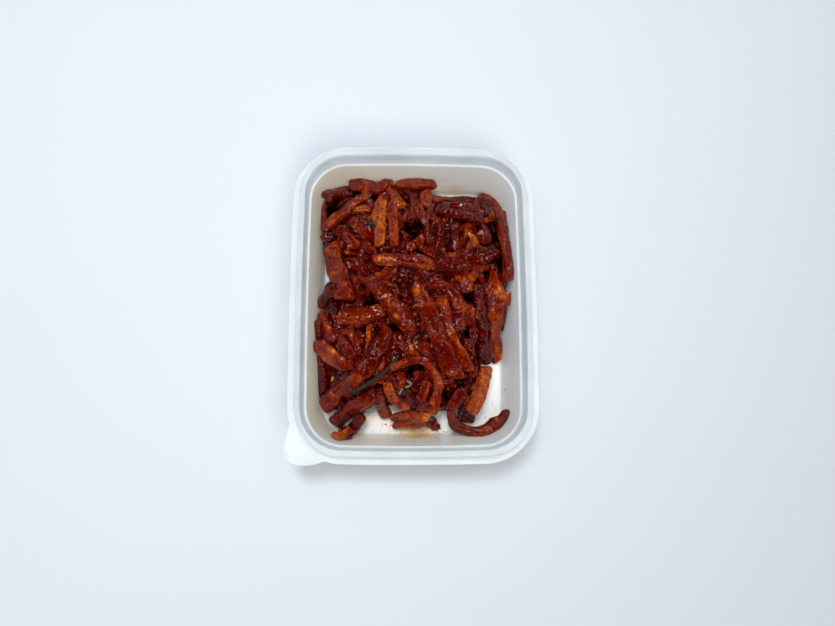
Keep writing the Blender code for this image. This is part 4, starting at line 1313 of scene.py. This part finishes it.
# %% Flakes and leaves
FLAKE_SEED = 23
FLAKE_COUNT = 1500
FLAKE_SIZES = (0.25 * MM, 0.70 * MM)
FLAKE_SPREAD = np.array((50, 68))
LEAF_PLACES = ((-21.5, 38.5, 1.9), (-19.5, 37.3, 1.2), (31, 14.5, 0.9), (-33, 22, 0.8))
CURL_ROUTE = ((-6.6, -44), (-5.2, -41.3), (-2.9, -40), (-1.8, -38.9), (-3.6, -38.0))
CURL_WIDTH = 0.8
CURL_NUMBER = 400
CURL_LIFT = 0.5 * MM
FLAKE_STOPS = ((0.0, "#1c0100"), (0.45, "#470601"), (0.7, "#641301"), (1.0, "#803006"))
LEAF_STOPS = ((0.0, "#080b06"), (0.5, "#161b10"), (1.0, "#2c301c"))
CURL_STOPS = ((0.0, "#2c2b26"), (0.5, "#5f5d56"), (1.0, "#7d7a72"))

bpy.context.view_layer.update()
graph = bpy.context.evaluated_depsgraph_get()
food_trees = [BVHTree.FromObject(item, graph) for item in (*strip_pieces, scrap_piece, core)]
box_tree = BVHTree.FromObject(food_box, graph)


def highest_hit(plan, trees, top=0.035):
    """The highest point below a plan place on any of the trees, and its normal, or None."""
    hits = [tree.ray_cast(Vector((*plan, top)), Vector((0, 0, -1)))[:2] for tree in trees]
    hits = [hit for hit in hits if hit[0] is not None]
    return max(hits, key=lambda hit: hit[0].z) if hits else None


def plates(centres, normals, radii, thickness, draw, ragged):
    """Thin uneven plates: rings of radius * (1 + ragged * draw) round each centre, square to its normal."""
    count = len(centres)
    columns = 7
    turn = 2 * math.pi * np.arange(columns)[None, :] / columns + draw.uniform(0, 6, (count, 1))
    edge = radii[:, None] * (1 + ragged * draw.uniform(-1, 1, (count, columns)))
    stretch = draw.uniform(0.6, 1.0, (count, 1))
    helper = np.cross(normals, draw.normal(size=(count, 3)))
    first = helper / np.linalg.norm(helper, axis=1, keepdims=True)
    second = np.cross(normals, first)
    ring = ((edge * np.cos(turn))[..., None] * first[:, None, :]
            + (edge * stretch * np.sin(turn))[..., None] * second[:, None, :])
    stack = []
    for share, level in ((0.75, -1.0), (1.0, 0.0), (0.7, 1.0)):
        raised = level * thickness[:, None, None] * normals[:, None, :]
        stack.append(centres[:, None, :] + share * ring + raised)
    return list(np.stack(stack, axis=1))


def drop_plates(places, sizes, trees, draw, ragged, thin):
    """Plates laid where the line down through each place meets the trees, and none where it misses."""
    found = [(highest_hit(plan, trees), size) for plan, size in zip(places, sizes)]
    found = [(hit, size) for hit, size in found if hit is not None]
    centres = np.array([hit[0] for hit, _ in found])
    normals = np.array([hit[1] for hit, _ in found])
    radii = np.array([size for _, size in found])
    return plates(centres, normals, radii, thin * radii, draw, ragged)


seed_grids = []
for number, seed_plan in enumerate(seen_at(SEED_PLACES, 0.025)):
    rest_on = np.array(highest_hit(seed_plan, food_trees)[0])
    seed_grids.append(egg_grid(rest_on - (0, 0, SEED_SINK), SEED_SIZE, 0.6 + 1.1 * number))
grid_object("sesame_seeds", seed_grids, {}, seed_hull, "kimchi")

draw = np.random.default_rng(FLAKE_SEED)
spots = draw.uniform(-1, 1, (FLAKE_COUNT, 2)) * FLAKE_SPREAD * MM
spots = spots[np.linalg.norm(spots, axis=1) < core_reach(spots)]
flake_grids = drop_plates(spots, draw.uniform(*FLAKE_SIZES, len(spots)), food_trees, draw, 0.35, 0.22)
# Pepper skin: wet, each flake in one tone from near black to a warm red brown.
flake_skin = wet_food("pepper flakes", FLAKE_STOPS, tone_from_points, 0.40, 0.9, 0.5, 0.10, 0.0)
flake_tones = [np.full(grid.shape[:2], draw.uniform(0, 1)) for grid in flake_grids]
grid_object("pepper_flakes", flake_grids, {"tone": flake_tones}, flake_skin, "kimchi")

# Wet green leaf, almost black with a green tinge.
leaf_skin = wet_food("green leaf scrap", LEAF_STOPS, plain_tone, 0.4, 0.9, 0.6, 0.15, 0.0)
leaf_plan = seen_at([leaf[:2] for leaf in LEAF_PLACES], 0.018)
leaf_sizes = np.array([leaf[2] for leaf in LEAF_PLACES]) * MM
leaf_grids = drop_plates(leaf_plan, leaf_sizes, food_trees, draw, 0.4, 0.16)
grid_object("leaf_scraps", leaf_grids, {}, leaf_skin, "kimchi")

curl_ground = spread_map(np.maximum(heights, scrap_ground), 1)
curl_line = drape(CURL_ROUTE, CURL_WIDTH * MM, CURL_WIDTH * MM, 0.0, curl_ground)
# Wet onion: a pale warm grey beside the dark paste, under a full coat.
curl_skin = wet_food("onion skin", CURL_STOPS, plain_tone, 0.3, 1.0, 0.6, 0.15, 0.1)
curl_strip = (*curl_line, CURL_WIDTH * MM, 0.8 * CURL_WIDTH * MM, 0.9)
curl_grid, _ = fine_strip(curl_strip, CURL_NUMBER, 0.25 * MM, 18)
curl_grid[..., 2] += CURL_LIFT
grid_object("onion_curl", [curl_grid], {}, curl_skin, "kimchi")

# %% [markdown]
# ## Drops of sauce
# Where the heap was moved about, small drops of thin orange sauce stay on the floor and the walls. They
# are flat plates a fraction of a millimetre thick. Most of them lie in the front strip of floor, and one
# run of drops goes down the right wall.

# %% Sauce drops
DROP_SEED = 31
DROP_FIELDS = (
    (5, -63, 18, 4.0, 220), (-14, -60.5, 6, 4.0, 40), (40, -45, 4, 8, 8), (-30, 65, 9, 2.0, 16),
    (8, 64.5, 14, 2.0, 14), (30, 57.5, 8, 2.5, 12), (-48, 20, 1.0, 9, 9), (49, 3, 1.0, 7, 8),
    (-42, -60, 5, 4, 8), (34, -60, 6, 4, 6),
)
DROP_SINGLES = (
    (46.4, -41.2, 0.75), (46.9, -43.4, 0.4), (47.2, -45.6, 0.35),
    (47.6, -48.6, 0.45), (-13.5, -58.5, 0.8), (-12, -63.5, 0.6),
)
DROP_SIZES = (0.10, 0.42)
DROP_STOPS = ((0.0, "#9a4414"), (0.5, "#c8742e"), (1.0, "#dda263"))

draw = np.random.default_rng(DROP_SEED)
drop_places = np.concatenate([
    np.array((x, y)) + draw.normal(0, 0.5, (count, 2)) * np.array((half_x, half_y))
    for x, y, half_x, half_y, count in DROP_FIELDS
] + [np.array([single[:2] for single in DROP_SINGLES])]) * MM
drop_sizes = draw.uniform(*DROP_SIZES, len(drop_places)) ** 1.5 * 1.6
drop_sizes[-len(DROP_SINGLES):] = [single[2] for single in DROP_SINGLES]
clear = [highest_hit(plan, food_trees) is None for plan in drop_places]
drop_grids = drop_plates(drop_places[clear], drop_sizes[clear] * MM, [box_tree], draw, 0.22, 0.14)
# Thin sauce: orange brown to pale orange, less wet than the paste, with a little light in it.
thin_sauce = wet_food("thin pepper sauce", DROP_STOPS, plain_tone, 0.3, 0.6, 0.8, 0.03, 0.1)
grid_object("sauce_drops", drop_grids, {}, thin_sauce, "kimchi")
